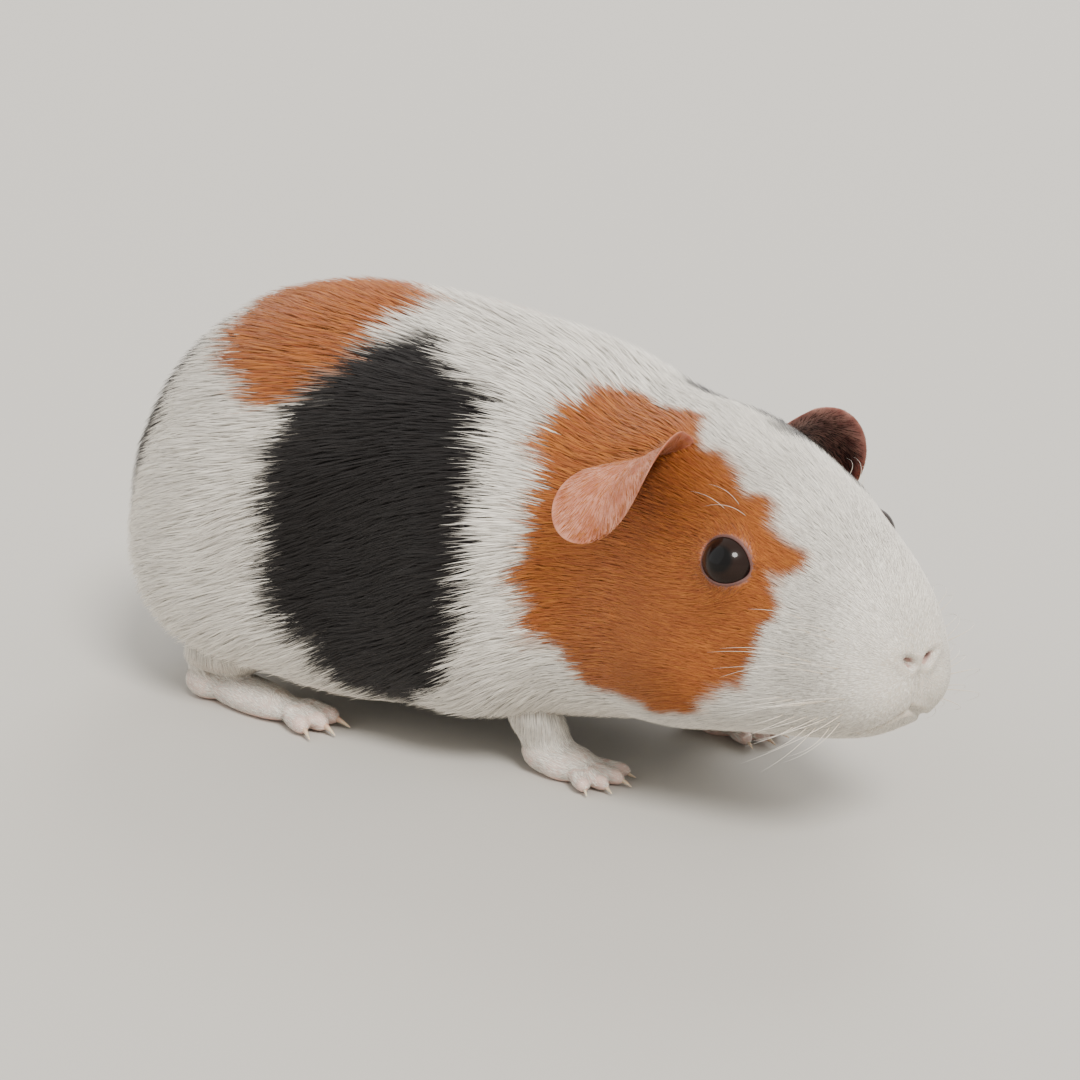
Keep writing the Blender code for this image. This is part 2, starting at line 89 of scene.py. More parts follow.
# Distance from the nose, side, level, their reach each way, and height, in mm. A side of 0 is on the midline.
FORMS = {
    "upper_lip": ((5, 6.5, 39), (7, 6, 6), 1.9),
    "whisker_pad": ((11, 13, 42), (8, 6, 8), 1.3),
    "nose_pad": ((1, 4, 50), (5, 4.5, 4), 0.9),
    "chin": ((11, 0, 29), (6, 7, 5), 0.9),
    "mouth_corner": ((13, 11, 34), (5, 5, 4), -0.9),
    "cheek": ((48, 29, 36), (17, 12, 15), 3.8),
    "throat": ((70, 30, 18), (12, 22, 12), -1.6),
    "neck_side": ((82, 38, 56), (12, 13, 24), -2.2),
    "brow": ((34, 19.5, 73.5), (9, 7, 6), 1.3),
    "eye_rim": ((36, 23.5, 63), (9, 7, 8), 0.9),
    "nose_bridge": ((22, 0, 72), (15, 8, 8), 1.2),
    "ear_root": ((61, 22, 82), (12, 9, 9), 1.5),
    "nape_dip": ((82, 0, 95), (15, 26, 10), -2.8),
    "shoulder": ((110, 43, 46), (20, 17, 26), 3.4),
    "elbow": ((109, 38, 16), (13, 10, 11), 2.6),
    "flank": ((150, 50, 48), (20, 14, 28), -2.6),
    "skirt": ((146, 43, 12), (34, 13, 13), 4.0),
    "haunch_bulge": ((200, 50, 40), (28, 18, 26), 4.0),
    "thigh": ((194, 50, 20), (26, 9, 12), 2.8),
    "rump_cleft": ((250, 0, 30), (16, 7, 14), -1.4),
}


# %% The loft's functions
def station_curve(column, s):
    """A smooth curve through one column of STATIONS, at the distances s from the nose."""
    table = np.array(list(STATIONS.values())) * MM
    x, y = table[:, 0], table[:, column]
    slope = np.gradient(y, x)
    i = np.clip(np.searchsorted(x, s) - 1, 0, len(x) - 2)
    step = x[i + 1] - x[i]
    t = np.clip((s - x[i]) / step, 0, 1)
    start = (1 + 2 * t) * (1 - t) ** 2 * y[i] + t * (1 - t) ** 2 * step * slope[i]
    end = t * t * (3 - 2 * t) * y[i + 1] + t * t * (t - 1) * step * slope[i + 1]
    return start + end


def plain_body(s, angle):
    """Points of the body without its swellings. The angle runs from the left side over the back."""
    nose = np.clip(1 - s / NOSE_ROUND, 0, 1)
    rump = np.clip(1 - (BODY_LENGTH - s) / RUMP_ROUND, 0, 1)
    share = (1 - nose**NOSE_POWER) ** (1 / NOSE_POWER) * (1 - rump**RUMP_POWER) ** (1 / RUMP_POWER)
    level = np.where(s < BODY_LENGTH / 2, NOSE_LEVEL, RUMP_LEVEL)
    top, under, wide, half = (station_curve(k, s) for k in (1, 2, 3, 4))
    top, under, wide = (level + (z - level) * share for z in (top, under, wide))
    up = np.sin(angle) >= 0
    power = np.where(up, 2 / UPPER_POWER, 2 / LOWER_POWER)
    across = np.sign(np.cos(angle)) * np.abs(np.cos(angle)) ** power
    rise = np.sign(np.sin(angle)) * np.abs(np.sin(angle)) ** power
    y = half * share * across * (1 - PEAR * rise)
    z = wide + rise * np.where(up, top - wide, wide - under)
    return np.stack([NOSE_X - s, y, z], -1)


def swelling(points):
    """How far the swellings and hollows lift the surface at these points."""
    total = np.zeros(points.shape[:-1])
    for centre, reach, height in FORMS.values():
        for side in (1, -1) if centre[1] else (1,):
            middle = np.array([NOSE_X - centre[0] * MM, side * centre[1] * MM, centre[2] * MM])
            away = (points - middle) / (np.array(reach) * MM)
            total += height * MM * np.exp(-(away**2).sum(-1))
    return total


def body_normal(s, angle):
    tiny = 0.05 * MM
    inside = np.clip(s, 2 * tiny, BODY_LENGTH - 2 * tiny)
    along = plain_body(inside + tiny, angle) - plain_body(inside - tiny, angle)
    around = plain_body(inside, angle + 1e-3) - plain_body(inside, angle - 1e-3)
    normal = np.cross(along, around)
    return normal / np.maximum(np.linalg.norm(normal, axis=-1, keepdims=True), 1e-12)


def body_point(s, angle, grow=0.0):
    """Points on the straight animal's outline, moved out along the normal by grow."""
    s, angle = np.broadcast_arrays(np.asarray(s, float), np.asarray(angle, float))
    points = plain_body(s, angle)
    return points + body_normal(s, angle) * (swelling(points) + grow)[..., None]


# %% [markdown]
# ## Turning the head
# The animal is easier to describe straight. The bend is one function that moves any point: it swings the
# spine's line to the right over the neck and keeps every section square to it. Its inverse tells each point
# of the finished skin where it would be on the straight animal, as the coat and the markings ask.

# %% The spine and its bend
SPINE_S = np.linspace(-0.02, BODY_LENGTH + 0.02, 600)


def heading(s):
    share = np.clip((TURN_STARTS - s) / (TURN_STARTS - TURN_ENDS), 0, 1)
    return TURN * share * share * (3 - 2 * share)


def spine_line():
    step = np.diff(SPINE_S)
    turn = heading(SPINE_S)
    x = np.concatenate([[0], np.cumsum(-np.cos(turn[:-1]) * step)])
    y = np.concatenate([[0], np.cumsum(-np.sin(turn[:-1]) * step)])
    return x + NOSE_X - SPINE_S[-1] - x[-1], y - y[-1]


SPINE_X, SPINE_Y = spine_line()


def spine_at(s):
    return np.interp(s, SPINE_S, SPINE_X), np.interp(s, SPINE_S, SPINE_Y)


def turn_head(points):
    """Bends the straight animal's points with the neck."""
    points = np.asarray(points, float)
    s = NOSE_X - points[..., 0]
    x, y = spine_at(s)
    turn = heading(s)
    bent = points.copy()
    bent[..., 0] = x - np.sin(turn) * points[..., 1]
    bent[..., 1] = y + np.cos(turn) * points[..., 1]
    return bent


def straighten(points):
    """Where these points of the bent animal are on the straight one."""
    s = NOSE_X - points[:, 0]
    for _ in range(12):
        x, y = spine_at(s)
        turn = heading(s)
        ahead = (points[:, 0] - x) * np.cos(turn) + (points[:, 1] - y) * np.sin(turn)
        s = s - ahead
    aside = -(points[:, 0] - x) * np.sin(turn) + (points[:, 1] - y) * np.cos(turn)
    return np.stack([NOSE_X - s, aside, points[:, 2]], -1)


def turn_directions(directions, s):
    """Turns directions of the straight animal with the neck."""
    turn = heading(s)
    turned = directions.copy()
    turned[:, 0] = directions[:, 0] * np.cos(turn) - directions[:, 1] * np.sin(turn)
    turned[:, 1] = directions[:, 0] * np.sin(turn) + directions[:, 1] * np.cos(turn)
    return turned


# %% [markdown]
# ## The eyes' places
# The skin has to part exactly round each eyeball, so the eyes' centres, radii and outward directions come
# first, straight from the frame.

# %% Read the eyeballs from the frame
EYE_FROM_NOSE = 35.5 * MM
EYE_ANGLES = {"left": math.radians(29.5), "right": math.pi - math.radians(29.5)}
UP = np.array([0.0, 0.0, 1.0])


def unit(vector):
    return vector / np.linalg.norm(vector, axis=-1, keepdims=True)


def eye_frame(side_name):
    """The eyeball's centre and radius, and its outward, forward and upward directions."""
    low, high = (np.array(corner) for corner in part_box(f"eye_{side_name}"))
    angle = EYE_ANGLES[side_name]
    here = turn_head(body_point(EYE_FROM_NOSE, angle))
    out = unit(turn_head(body_point(EYE_FROM_NOSE, angle, 3 * MM)) - here)
    ahead = turn_head(body_point(EYE_FROM_NOSE - 2 * MM, angle)) - here
    ahead = unit(ahead - out * (ahead @ out))
    up = np.cross(out, ahead)
    up = up * np.sign(up[2])
    return {"centre": (low + high) / 2, "radius": (high - low)[2] / 2, "out": out, "ahead": ahead, "up": up}


EYES = {side_name: eye_frame(side_name) for side_name in SIDES}
LID_OPENING = (5.7 * MM, 5.0 * MM)  # half the width and height of the opening between the lids
print("eyes:", {name: round(eye["radius"] * 1000, 2) for name, eye in EYES.items()}, "mm radius")

# %% [markdown]
# ## The skin of head, neck and trunk
# The coat lies between the skin and the outline, so the skin is the same loft moved in by the coat's depth:
# a third of a millimetre at the nose and six on the back. Rows crowd together at both rounded ends, where
# the surface turns fastest. Nostrils, lip cleft and mouth are grooves: each is a short path, and the skin
# sinks by how near it lies to one.

# %% The depth of the coat, and the grooves of the face
# Distance from the nose and the coat's depth there, both in mm.
COAT_DEPTHS = [
    (0, 0.3), (6, 0.5), (16, 1.0), (30, 1.5), (48, 2.3), (70, 3.6), (95, 4.8), (130, 5.6), (250, 6.0),
]
BELLY_THINNER = 0.3  # the coat's share that is missing under the belly
EYE_DEPTH, EYE_REACH = 0.45 * MM, 9.5 * MM  # its depth beside the eye, and how far that goes
MOUTH_FRONT, MOUTH_DEPTH, MOUTH_ARC = 2.2 * MM, 6.5 * MM, math.radians(31)
TOP, UNDER = math.radians(90), math.radians(-90)  # angles round the body, from the left side


def coat_depth(straight):
    """The coat's depth at these points of the straight animal."""
    table = np.array(COAT_DEPTHS) * MM
    depth = np.interp(NOSE_X - straight[..., 0], table[:, 0], table[:, 1])
    under = np.clip((45 * MM - straight[..., 2]) / (35 * MM), 0, 1)
    depth = depth * (1 - BELLY_THINNER * under)
    for angle in EYE_ANGLES.values():
        away = np.linalg.norm(straight - body_point(EYE_FROM_NOSE, angle), axis=-1)
        near = np.exp(-((away / EYE_REACH) ** 4))
        depth = depth * (1 - near) + EYE_DEPTH * near
    return depth


def face_grooves():
    """Each groove's path on the straight animal, with its half width and depth."""
    across = np.linspace(-1, 1, 41)
    mouth = body_point(MOUTH_FRONT + MOUTH_DEPTH * np.abs(across) ** 1.6, UNDER + MOUTH_ARC * across)
    down = np.linspace(0.12 * MM, MOUTH_FRONT, 20)
    cleft = body_point(np.append(0.03 * MM, down), np.append(TOP, np.full(len(down), UNDER)))
    grooves = {"mouth": (mouth, 0.75 * MM, 1.6 * MM), "lip cleft": (cleft, 0.65 * MM, 1.3 * MM)}
    t = np.linspace(0, 1, 12)
    for name, side in SIDES.items():
        # A nostril is a comma: round below and drawn out up and to the side.
        s = 0.4 * MM + 2.6 * MM * t**1.4
        y = side * (2.2 * MM + 3.9 * MM * t)
        z = 46.2 * MM + 4.0 * MM * t - 2.2 * MM * t * t
        grooves[f"{name} nostril"] = (np.stack([NOSE_X - s, y, z], -1), 1.0 * MM, 3.2 * MM)
    return grooves


def path_distance(points, path):
    """The distance from each point to a path, and where along it the nearest point lies, from 0 to 1."""
    best = np.full(points.shape[:-1], 1e9)
    where = np.zeros(points.shape[:-1])
    for i, (a, b) in enumerate(zip(path, path[1:])):
        t = np.clip(((points - a) @ (b - a)) / max((b - a) @ (b - a), 1e-18), 0, 1)
        gap = np.linalg.norm(points - a - t[..., None] * (b - a), axis=-1)
        closer = gap < best
        best = np.where(closer, gap, best)
        where = np.where(closer, (i + t) / (len(path) - 1), where)
    return best, where


GROOVES = face_grooves()


def face_relief(points):
    """Sinks the grooves of nose and mouth, and rolls the skin up a little beside them."""
    relief = np.zeros(points.shape[:-1])
    near = points[..., 0] > NOSE_X - 22 * MM
    spots = points[near]
    total = np.zeros(len(spots))
    for name, (path, width, depth) in GROOVES.items():
        gap, where = path_distance(spots, path)
        fade = 1.0 if "nostril" in name else np.sqrt(np.clip(1 - np.abs(2 * where - 1) ** 6, 0, 1))
        total -= depth * fade * np.exp(-((gap / width) ** 2))
        total += 0.16 * depth * fade * np.exp(-(((gap - 2.1 * width) / (1.1 * width)) ** 2))
    relief[near] = total
    return relief


def nostril_depth(points):
    """From 0 on the open skin to 1 in the middle of a nostril."""
    deepest = np.zeros(len(points))
    for side_name in SIDES:
        path, width, _ = GROOVES[f"{side_name} nostril"]
        gap, _ = path_distance(points, path)
        deepest = np.maximum(deepest, np.exp(-((gap / (0.9 * width)) ** 4)))
    return deepest


# %% Loft the skin of the body
COLUMNS = 240
NOSE_ROWS, RUMP_ROWS = 40, 34
HEAD_STEP, NECK_STEP, TRUNK_STEP = 0.85 * MM, 1.3 * MM, 2.3 * MM  # between rows


def rounded_rows(length, power, count):
    """Distances from a rounded end whose sections grow by equal steps."""
    share = np.linspace(0, 1, count) ** 0.9
    return length * (1 - (1 - share**power) ** (1 / power))


def skin_rows():
    nose = rounded_rows(NOSE_ROUND, NOSE_POWER, NOSE_ROWS)
    rump = BODY_LENGTH - rounded_rows(RUMP_ROUND, RUMP_POWER, RUMP_ROWS)
    head = np.arange(NOSE_ROUND, HEAD_END, HEAD_STEP)
    neck = np.arange(HEAD_END, NECK_END, NECK_STEP)
    trunk = np.arange(NECK_END, BODY_LENGTH - RUMP_ROUND, TRUNK_STEP)
    rows = np.sort(np.concatenate([nose, head, neck, trunk, rump]))
    return rows[np.concatenate([[True], np.diff(rows) > 1e-6])]


def part_round_eyes(points):
    """Sinks the skin behind each eyeball inside the lids' opening."""
    for eye in EYES.values():
        away = points - eye["centre"]
        ahead, up, out = away @ eye["ahead"], away @ eye["up"], away @ eye["out"]
        opening = np.hypot(ahead / LID_OPENING[0], up / LID_OPENING[1])
        behind = np.sqrt(np.clip((eye["radius"] - 1.2 * MM) ** 2 - ahead**2 - up**2, 0, None))
        sink = np.clip((1.22 - opening) / 0.12, 0, 1) * (out > 0)
        shift = np.minimum(behind - out, 0) * sink
        points = points + shift[..., None] * eye["out"]
    return points


def grid_mesh(name, points, uvs, kind):
    """A closed mesh from rows of points, whose first and last rows are poles. The slot keeps the kind."""
    rows, columns = points.shape[:2]
    middle = points[1:-1].reshape(-1, 3)
    verts = np.concatenate([points[0].mean(0)[None], middle, points[-1].mean(0)[None]])
    faces, corners = [], []

    def index(r, c):
        return 0 if r == 0 else len(verts) - 1 if r == rows - 1 else 1 + (r - 1) * columns + c % columns

    for r in range(rows - 1):
        for c in range(columns):
            ring = [(r, c), (r, c + 1), (r + 1, c + 1), (r + 1, c)]
            if r == 0:
                ring = [(r, c), (r + 1, c + 1), (r + 1, c)]
            elif r == rows - 2:
                ring = [(r, c), (r, c + 1), (r + 1, c)]
            faces.append([index(*corner) for corner in ring])
            corners.extend(uvs[a, b] for a, b in ring)
    mesh = bpy.data.meshes.new(name)
    mesh.from_pydata(verts.tolist(), [], faces)
    layer = mesh.uv_layers.new(name="OFBake")
    layer.data.foreach_set("uv", np.array(corners, np.float32).ravel())
    mesh.polygons.foreach_set("material_index", np.full(len(faces), kind, np.int32))
    return point_outwards(mesh)


def point_outwards(mesh):
    bm = bmesh.new()
    bm.from_mesh(mesh)
    bmesh.ops.recalc_face_normals(bm, faces=bm.faces[:])
    if bm.calc_volume(signed=True) < 0:
        bmesh.ops.reverse_faces(bm, faces=bm.faces[:])
    bm.to_mesh(mesh)
    bm.free()
    return add_object(mesh)


def add_object(mesh):
    obj = bpy.data.objects.new(mesh.name, mesh)
    bpy.context.scene.collection.objects.link(obj)
    return obj


BODY, EAR, LIMB, LID = range(4)  # which kind of skin a face is


def make_body_skin():
    rows = skin_rows()[:, None]
    angles = (np.arange(COLUMNS) * 2 * math.pi / COLUMNS)[None]
    outline, normal = body_point(rows, angles), body_normal(*np.broadcast_arrays(rows, angles))
    straight = outline - normal * coat_depth(outline)[..., None]
    straight = straight + normal * face_relief(straight)[..., None]
    points = part_round_eyes(turn_head(straight))
    length = np.concatenate([[0], np.cumsum(np.linalg.norm(np.diff(points[:, 0], axis=0), axis=-1))])
    u = np.linspace(0.01, 0.99, COLUMNS + 1)
    v = 0.02 + 0.74 * length / length[-1]
    uvs = np.stack(np.broadcast_arrays(u[None], v[:, None]), -1)
    return grid_mesh("body skin", points, uvs, BODY)


skin = make_body_skin()
print("body skin:", len(skin.data.polygons), "faces")

# %% [markdown]
# ## The ears
# A cavy's ear is a thin drooping petal, all but bare. Its middle surface is a strip that leaves the head
# outwards and curls over, widest near its middle. Two copies of it, half a thickness to each side and drawn
# together at the rim, make it solid.

# %% Ears
EAR_ROOT = np.array([NOSE_X - 63 * MM, 19.5 * MM, 82 * MM])
EAR_LENGTH, EAR_HALF_WIDTH, EAR_THICK = 28 * MM, 13.8 * MM, 0.95 * MM
EAR_LIFTS, EAR_FALLS = math.radians(8), math.radians(-96)  # its slope at its root and at its tip
EAR_BACK = unit(np.array([-0.82, 0.36, -0.42]))  # from its front edge to its back edge, on the left
EAR_FORWARD = 0.12  # how far it points forward
EAR_WIDEST, EAR_NARROWS, EAR_ROOT_SHARE = 0.45, 0.4, 0.70  # where along it, and its root's share of the width
EAR_CUP, EAR_RIPPLE, EAR_RIDGE = 3.9 * MM, 1.6 * MM, 0.35 * MM
EAR_STEPS, EAR_ACROSS = 34, 34


def mirrored(vector, side):
    return vector * np.array([1, side, 1])


def ear_surface(u, v, side):
    """The ear's middle surface: u from root to tip, v from front edge to back edge."""
    slope = EAR_LIFTS + (EAR_FALLS - EAR_LIFTS) * u
    bend = EAR_FALLS - EAR_LIFTS
    out = EAR_LENGTH * (np.sin(slope) - math.sin(EAR_LIFTS)) / bend
    rise = -EAR_LENGTH * (np.cos(slope) - math.cos(EAR_LIFTS)) / bend
    full = np.sin(math.pi / 2 * np.minimum(u / EAR_WIDEST, 1))
    end = np.sqrt(np.clip(1 - (np.clip(u - EAR_NARROWS, 0, None) / (1 - EAR_NARROWS)) ** 2.2, 0, 1))
    half = EAR_HALF_WIDTH * (EAR_ROOT_SHARE + (1 - EAR_ROOT_SHARE) * full) * end
    back = mirrored(EAR_BACK, side)
    outward = unit(np.array([EAR_FORWARD, side, 0]))
    along = outward * np.cos(slope)[..., None] + UP * np.sin(slope)[..., None]
    over = -side * unit(np.cross(along, back))
    ripple = EAR_RIPPLE * np.sin(6.5 * v + 0.8) * u * (1 - u)
    ridge = EAR_RIDGE * np.exp(-(((v + 0.55 - 0.25 * u) / 0.16) ** 2)) * np.clip(1 - u * 1.2, 0, 1)
    cup = EAR_CUP * (0.4 - v * v) * (0.3 + np.sin(math.pi * u) * 0.7)
    point = mirrored(EAR_ROOT, side) + outward * out[..., None] + UP * rise[..., None]
    return point + back * (half * v)[..., None] + over * (cup + ripple + ridge)[..., None], over


def make_ear_skin(side_name):
    side = SIDES[side_name]
    # The section runs along the front of the petal and back behind it, so one ring is a closed loop.
    around = np.linspace(0, 2 * math.pi, 2 * EAR_ACROSS, endpoint=False)
    v, face = np.cos(around)[None], np.sin(around)[None]
    u = np.sin(math.pi / 2 * np.linspace(-0.12, 1, EAR_STEPS))[:, None]
    u, v, face = np.broadcast_arrays(u, v, face)
    middle, over = ear_surface(np.clip(u, 0, 1), v, side)
    middle = middle - unit(np.array([EAR_FORWARD, side, 0.5])) * np.clip(-u, 0, None)[..., None] * EAR_LENGTH
    rim = np.clip(1 - np.clip(u, 0, 1) ** 5, 0.3, 1)
    aside = EAR_THICK * 0.5 * rim * np.sign(face) * np.abs(face) ** 0.6
    points = turn_head(middle + over * aside[..., None])
    left_edge = 0.05 if side > 0 else 0.27
    across = left_edge + 0.18 * np.linspace(0, 1, 2 * EAR_ACROSS + 1)[None]
    upwards = 0.80 + 0.17 * np.linspace(0, 1, EAR_STEPS)[:, None]
    uvs = np.stack(np.broadcast_arrays(across, upwards), -1)
    return grid_mesh(f"ear {side_name}", points, uvs, EAR)


ears = [make_ear_skin(side_name) for side_name in SIDES]
print("ears:", sum(len(ear.data.polygons) for ear in ears), "faces")

# %% [markdown]
# ## Legs and feet
# A foot is a palm, a heel and three or four toes grown into one. Separate rounded solids give its shape, a
# voxel remesh fuses them, and a few smoothing steps fill the creases between them as flesh does. The soles
# are then pressed flat on the floor. A hand-made loft would need many more named points for the same form.

# %% The sizes of legs and feet
# Places are distance from the nose, distance from the midline and height, in mm. A leg's ring has two half
# widths as well, and a pad has three. A toe has its spread in degrees, its length, and its reach to the claw.
LIMBS = {
    "fore": {
        "leg": [
            ((112, 27, 44), 14, 11),
            ((107, 27.5, 30), 13.5, 10.8),
            ((102, 26.8, 18), 12.5, 9.6),
            ((96.5, 25.4, 8), 8.2, 6.8),
        ],
        "pads": [((90.5, 24.5, 3.2), (8.8, 6.8, 4.6)), ((95.5, 25, 5.3), (7.2, 6.2, 5.9))],
        "toes": {
            "outer": (-31, 9.0, 7.6),
            "ring": (-11, 10.5, 9.6),
            "middle": (9, 10.5, 9.8),
            "inner": (29, 9.0, 7.8),
        },
        "toe_root": (85.5, 24.5, 2.5),
        "toe_radius": 2.15,
        "ankle": 34,
        "claw": (4.6, 0.95),
    },
    "hind": {
        "leg": [
            ((184, 38, 42), 25, 12),
            ((187, 38.8, 28), 24, 12.5),
            ((192.5, 39, 17), 20.5, 12),
            ((201, 38.2, 9), 12, 8.4),
        ],
        "pads": [((190, 38, 3.6), (20, 6.6, 4.9)), ((205, 37.5, 4.4), (8.2, 6.6, 5.3))],
        "toes": {"outer": (-17, 12.5, 11.2), "middle": (0, 13.5, 12.4), "inner": (17, 12.0, 11.0)},
        "toe_root": (175, 38.5, 3.1),
        "toe_radius": 2.7,
        "ankle": -66,
        "claw": (6.6, 1.2),
    },
}
FOOT_SPLAY = {"fore": 4, "hind": 8}  # degrees outwards
TOES_FAN = 6 * MM  # how far behind their roots the toes' lines would meet
STEP = {"fore": {"left": 5, "right": -4}, "hind": {"left": -5, "right": 4}}
LEG_TOP = 45 * MM
LEG_COAT, FOOT_COAT = 1.6 * MM, 0.45 * MM
LEG_HIDES = 5.4  # mm that a leg's shaft draws in, over 10 mm of height, so that it ends inside the trunk
VOXEL = 0.65 * MM


def place(point, side):
    return Vector((NOSE_X - point[0] * MM, side * point[1] * MM, point[2] * MM))


def step_foot(points, limb, side_name):
    """Leans a limb's points so that its foot stands a little forward or back."""
    points = np.array(points, float)
    lean = np.clip(1.2 - 1.2 * points[:, 2] / LEG_TOP, 0, 1)
    points[:, 0] += STEP[limb][side_name] * MM * lean
    return points


def toe_frames(limb, side):
    """For each toe: its name, root, direction, length and reach."""
    shape = LIMBS[limb]
    for name, (spread, length, reach) in shape["toes"].items():
        angle = math.radians(-spread + FOOT_SPLAY[limb]) * side
        aside = -math.sin(math.radians(spread)) * TOES_FAN * side
        start = place(shape["toe_root"], side) + Vector((0, aside, 0))
        yield name, start, Vector((math.cos(angle), math.sin(angle), 0)), length * MM, reach * MM


def ellipsoid(bm, centre, radii, aim=(0, 0, 0), segments=24):
    turned = Matrix.Identity(4)
    for axis, angle in zip("XYZ", aim):
        turned = Matrix.Rotation(math.radians(angle), 4, axis) @ turned
    matrix = Matrix.Translation(centre) @ turned @ Matrix.Diagonal((*radii, 1))
    bmesh.ops.create_uvsphere(bm, u_segments=segments, v_segments=segments // 2, radius=1, matrix=matrix)


def leg_shaft(bm, shape, side, columns=28):
    rows = []
    for centre, half_x, half_y in shape["leg"]:
        inset = LEG_COAT / MM + LEG_HIDES * min(max((centre[2] - 10) / 16, 0), 1)
        size = ((half_x - inset) * MM, (half_y - inset) * MM)
        turns = [2 * math.pi * k / columns for k in range(columns)]
        ring = [Vector((size[0] * math.cos(t), size[1] * math.sin(t), 0)) for t in turns]
        rows.append([bm.verts.new(place(centre, side) + spoke) for spoke in ring])
    for low, high in zip(rows, rows[1:]):
        for k in range(columns):
            bm.faces.new((low[k], low[(k + 1) % columns], high[(k + 1) % columns], high[k]))
    bm.faces.new(rows[0])
    bm.faces.new(rows[-1])


def evaluated(obj):
    """The object's mesh with its modifiers worked in."""
    graph = bpy.context.evaluated_depsgraph_get()
    made = bpy.data.meshes.new_from_object(obj.evaluated_get(graph))
    obj.modifiers.clear()
    return made


def read(items, name, width=1, kind=float):
    """One value, or a row of them, from each item of a mesh."""
    values = np.empty(len(items) * width, kind)
    items.foreach_get(name, values)
    return values.reshape(-1, width) if width > 1 else values


def mesh_points(mesh):
    return read(mesh.vertices, "co", 3)


def mesh_edges(mesh):
    return read(mesh.edges, "vertices", 2, np.int32)


def box_unwrap(mesh, corner, size):
    """Unwraps a mesh by the way each face looks, in six tiles inside one cell of the skin's map."""
    points = mesh_points(mesh)
    share = (points - points.min(0)) / (points.max(0) - points.min(0))
    layer = mesh.uv_layers.new(name="OFBake")
    for face in mesh.polygons:
        axis = max(range(3), key=lambda k: abs(face.normal[k]))
        tile = (axis, int(face.normal[axis] > 0))
        across, up = [k for k in range(3) if k != axis]
        for loop, vert in zip(face.loop_indices, face.vertices):
            u = (tile[0] + 0.04 + 0.92 * share[vert, across]) / 3
            v = (tile[1] + 0.04 + 0.92 * share[vert, up]) / 2
            layer.data[loop].uv = (corner[0] + size[0] * u, corner[1] + size[1] * v)


def relaxed(mesh, points, weight, steps):
    """The points after some steps towards the middle of their neighbours, each by its own weight."""
    edges = mesh_edges(mesh)
    count = np.maximum(np.bincount(edges.ravel(), minlength=len(points)), 1)[:, None]
    weight = 0.5 * weight[:, None]
    for _ in range(steps):
        total = np.zeros_like(points)
        np.add.at(total, edges[:, 0], points[edges[:, 1]])
        np.add.at(total, edges[:, 1], points[edges[:, 0]])
        points = (1 - weight) * points + weight * total / count
    return points


def add_toe(bm, start, aim, length, radius):
    """A toe is a long shaft, a rounder pad at its end, and a knuckle that stands up a little behind it."""
    turn = math.degrees(math.atan2(aim.y, aim.x))
    shaft = (length * 0.68 - 0.3 * MM, radius, radius * 1.12)
    pad = (radius * 1.35, radius * 0.90, radius * 0.90)
    knuckle = (radius * 1.3, radius * 0.85, radius * 0.9)
    ellipsoid(bm, start + aim * (length * 0.42), shaft, (0, 6, turn))
    ellipsoid(bm, start + aim * (length * 0.78), pad, (0, 0, turn))
    ellipsoid(bm, start + aim * (length * 0.38) + Vector((0, 0, radius * 0.35)), knuckle)


def make_limb_skin(limb, side_name, cell):
    shape, side = LIMBS[limb], SIDES[side_name]
    bm = bmesh.new()
    leg_shaft(bm, shape, side)
    for centre, radii in shape["pads"]:
        size = [value * MM - FOOT_COAT for value in radii]
        ellipsoid(bm, place(centre, side), size, (0, 0, side * FOOT_SPLAY[limb]), 32)
    for _, start, aim, length, _ in toe_frames(limb, side):
        add_toe(bm, start, aim, length, shape["toe_radius"] * MM - 0.6 * FOOT_COAT)
    bmesh.ops.recalc_face_normals(bm, faces=bm.faces[:])
    mesh = bpy.data.meshes.new(f"{limb}leg skin {side_name}")
    bm.to_mesh(mesh)
    bm.free()
    obj = add_object(mesh)
    fuse = obj.modifiers.new("fuse", "REMESH")
    fuse.mode, fuse.voxel_size, fuse.adaptivity = "VOXEL", VOXEL, 0.0
    obj.data = evaluated(obj)
    # The creases of the toes are softened a little, and those of the ankle until it is one smooth form.
    points = mesh_points(obj.data)
    above = np.clip((points[:, 2] - 5.5 * MM) / (4 * MM), 0, 1)
    behind = np.clip((shape["ankle"] * MM - points[:, 0]) / (4 * MM), 0, 1)
    points = relaxed(obj.data, points, np.ones(len(points)), 2)
    points = relaxed(obj.data, points, above * behind, 40)
    points[:, 2] = np.maximum(points[:, 2], 0)
    points = step_foot(points.astype(np.float32), limb, side_name)
    obj.data.vertices.foreach_set("co", points.ravel())
    box_unwrap(obj.data, (0.49 + 0.125 * cell, 0.80), (0.115, 0.17))
    obj.data.polygons.foreach_set("material_index", np.full(len(obj.data.polygons), LIMB, np.int32))
    return obj


limb_skins = []
for limb in LIMBS:
    for side_name in SIDES:
        limb_skins.append(make_limb_skin(limb, side_name, len(limb_skins)))
print("legs and feet:", sum(len(obj.data.polygons) for obj in limb_skins), "faces")

# %% [markdown]
# ## The lids
# A lid is a rolled edge that hugs the eyeball. It is swept round the opening: at each turn a small closed
# profile stands on the eyeball's own sphere, so lid and ball meet all the way round, whatever the head's
# shape there.

# %% Lids
# The profile's points: out from the opening's edge and up from the eyeball, in mm.
LID_PROFILE = [
    (-0.25, -0.3), (-0.05, 0.28), (0.35, 0.52), (1.0, 0.42),
    (1.9, 0.05), (2.8, -0.7), (2.5, -1.9), (0.8, -1.6),
]
LID_TURNS = 72


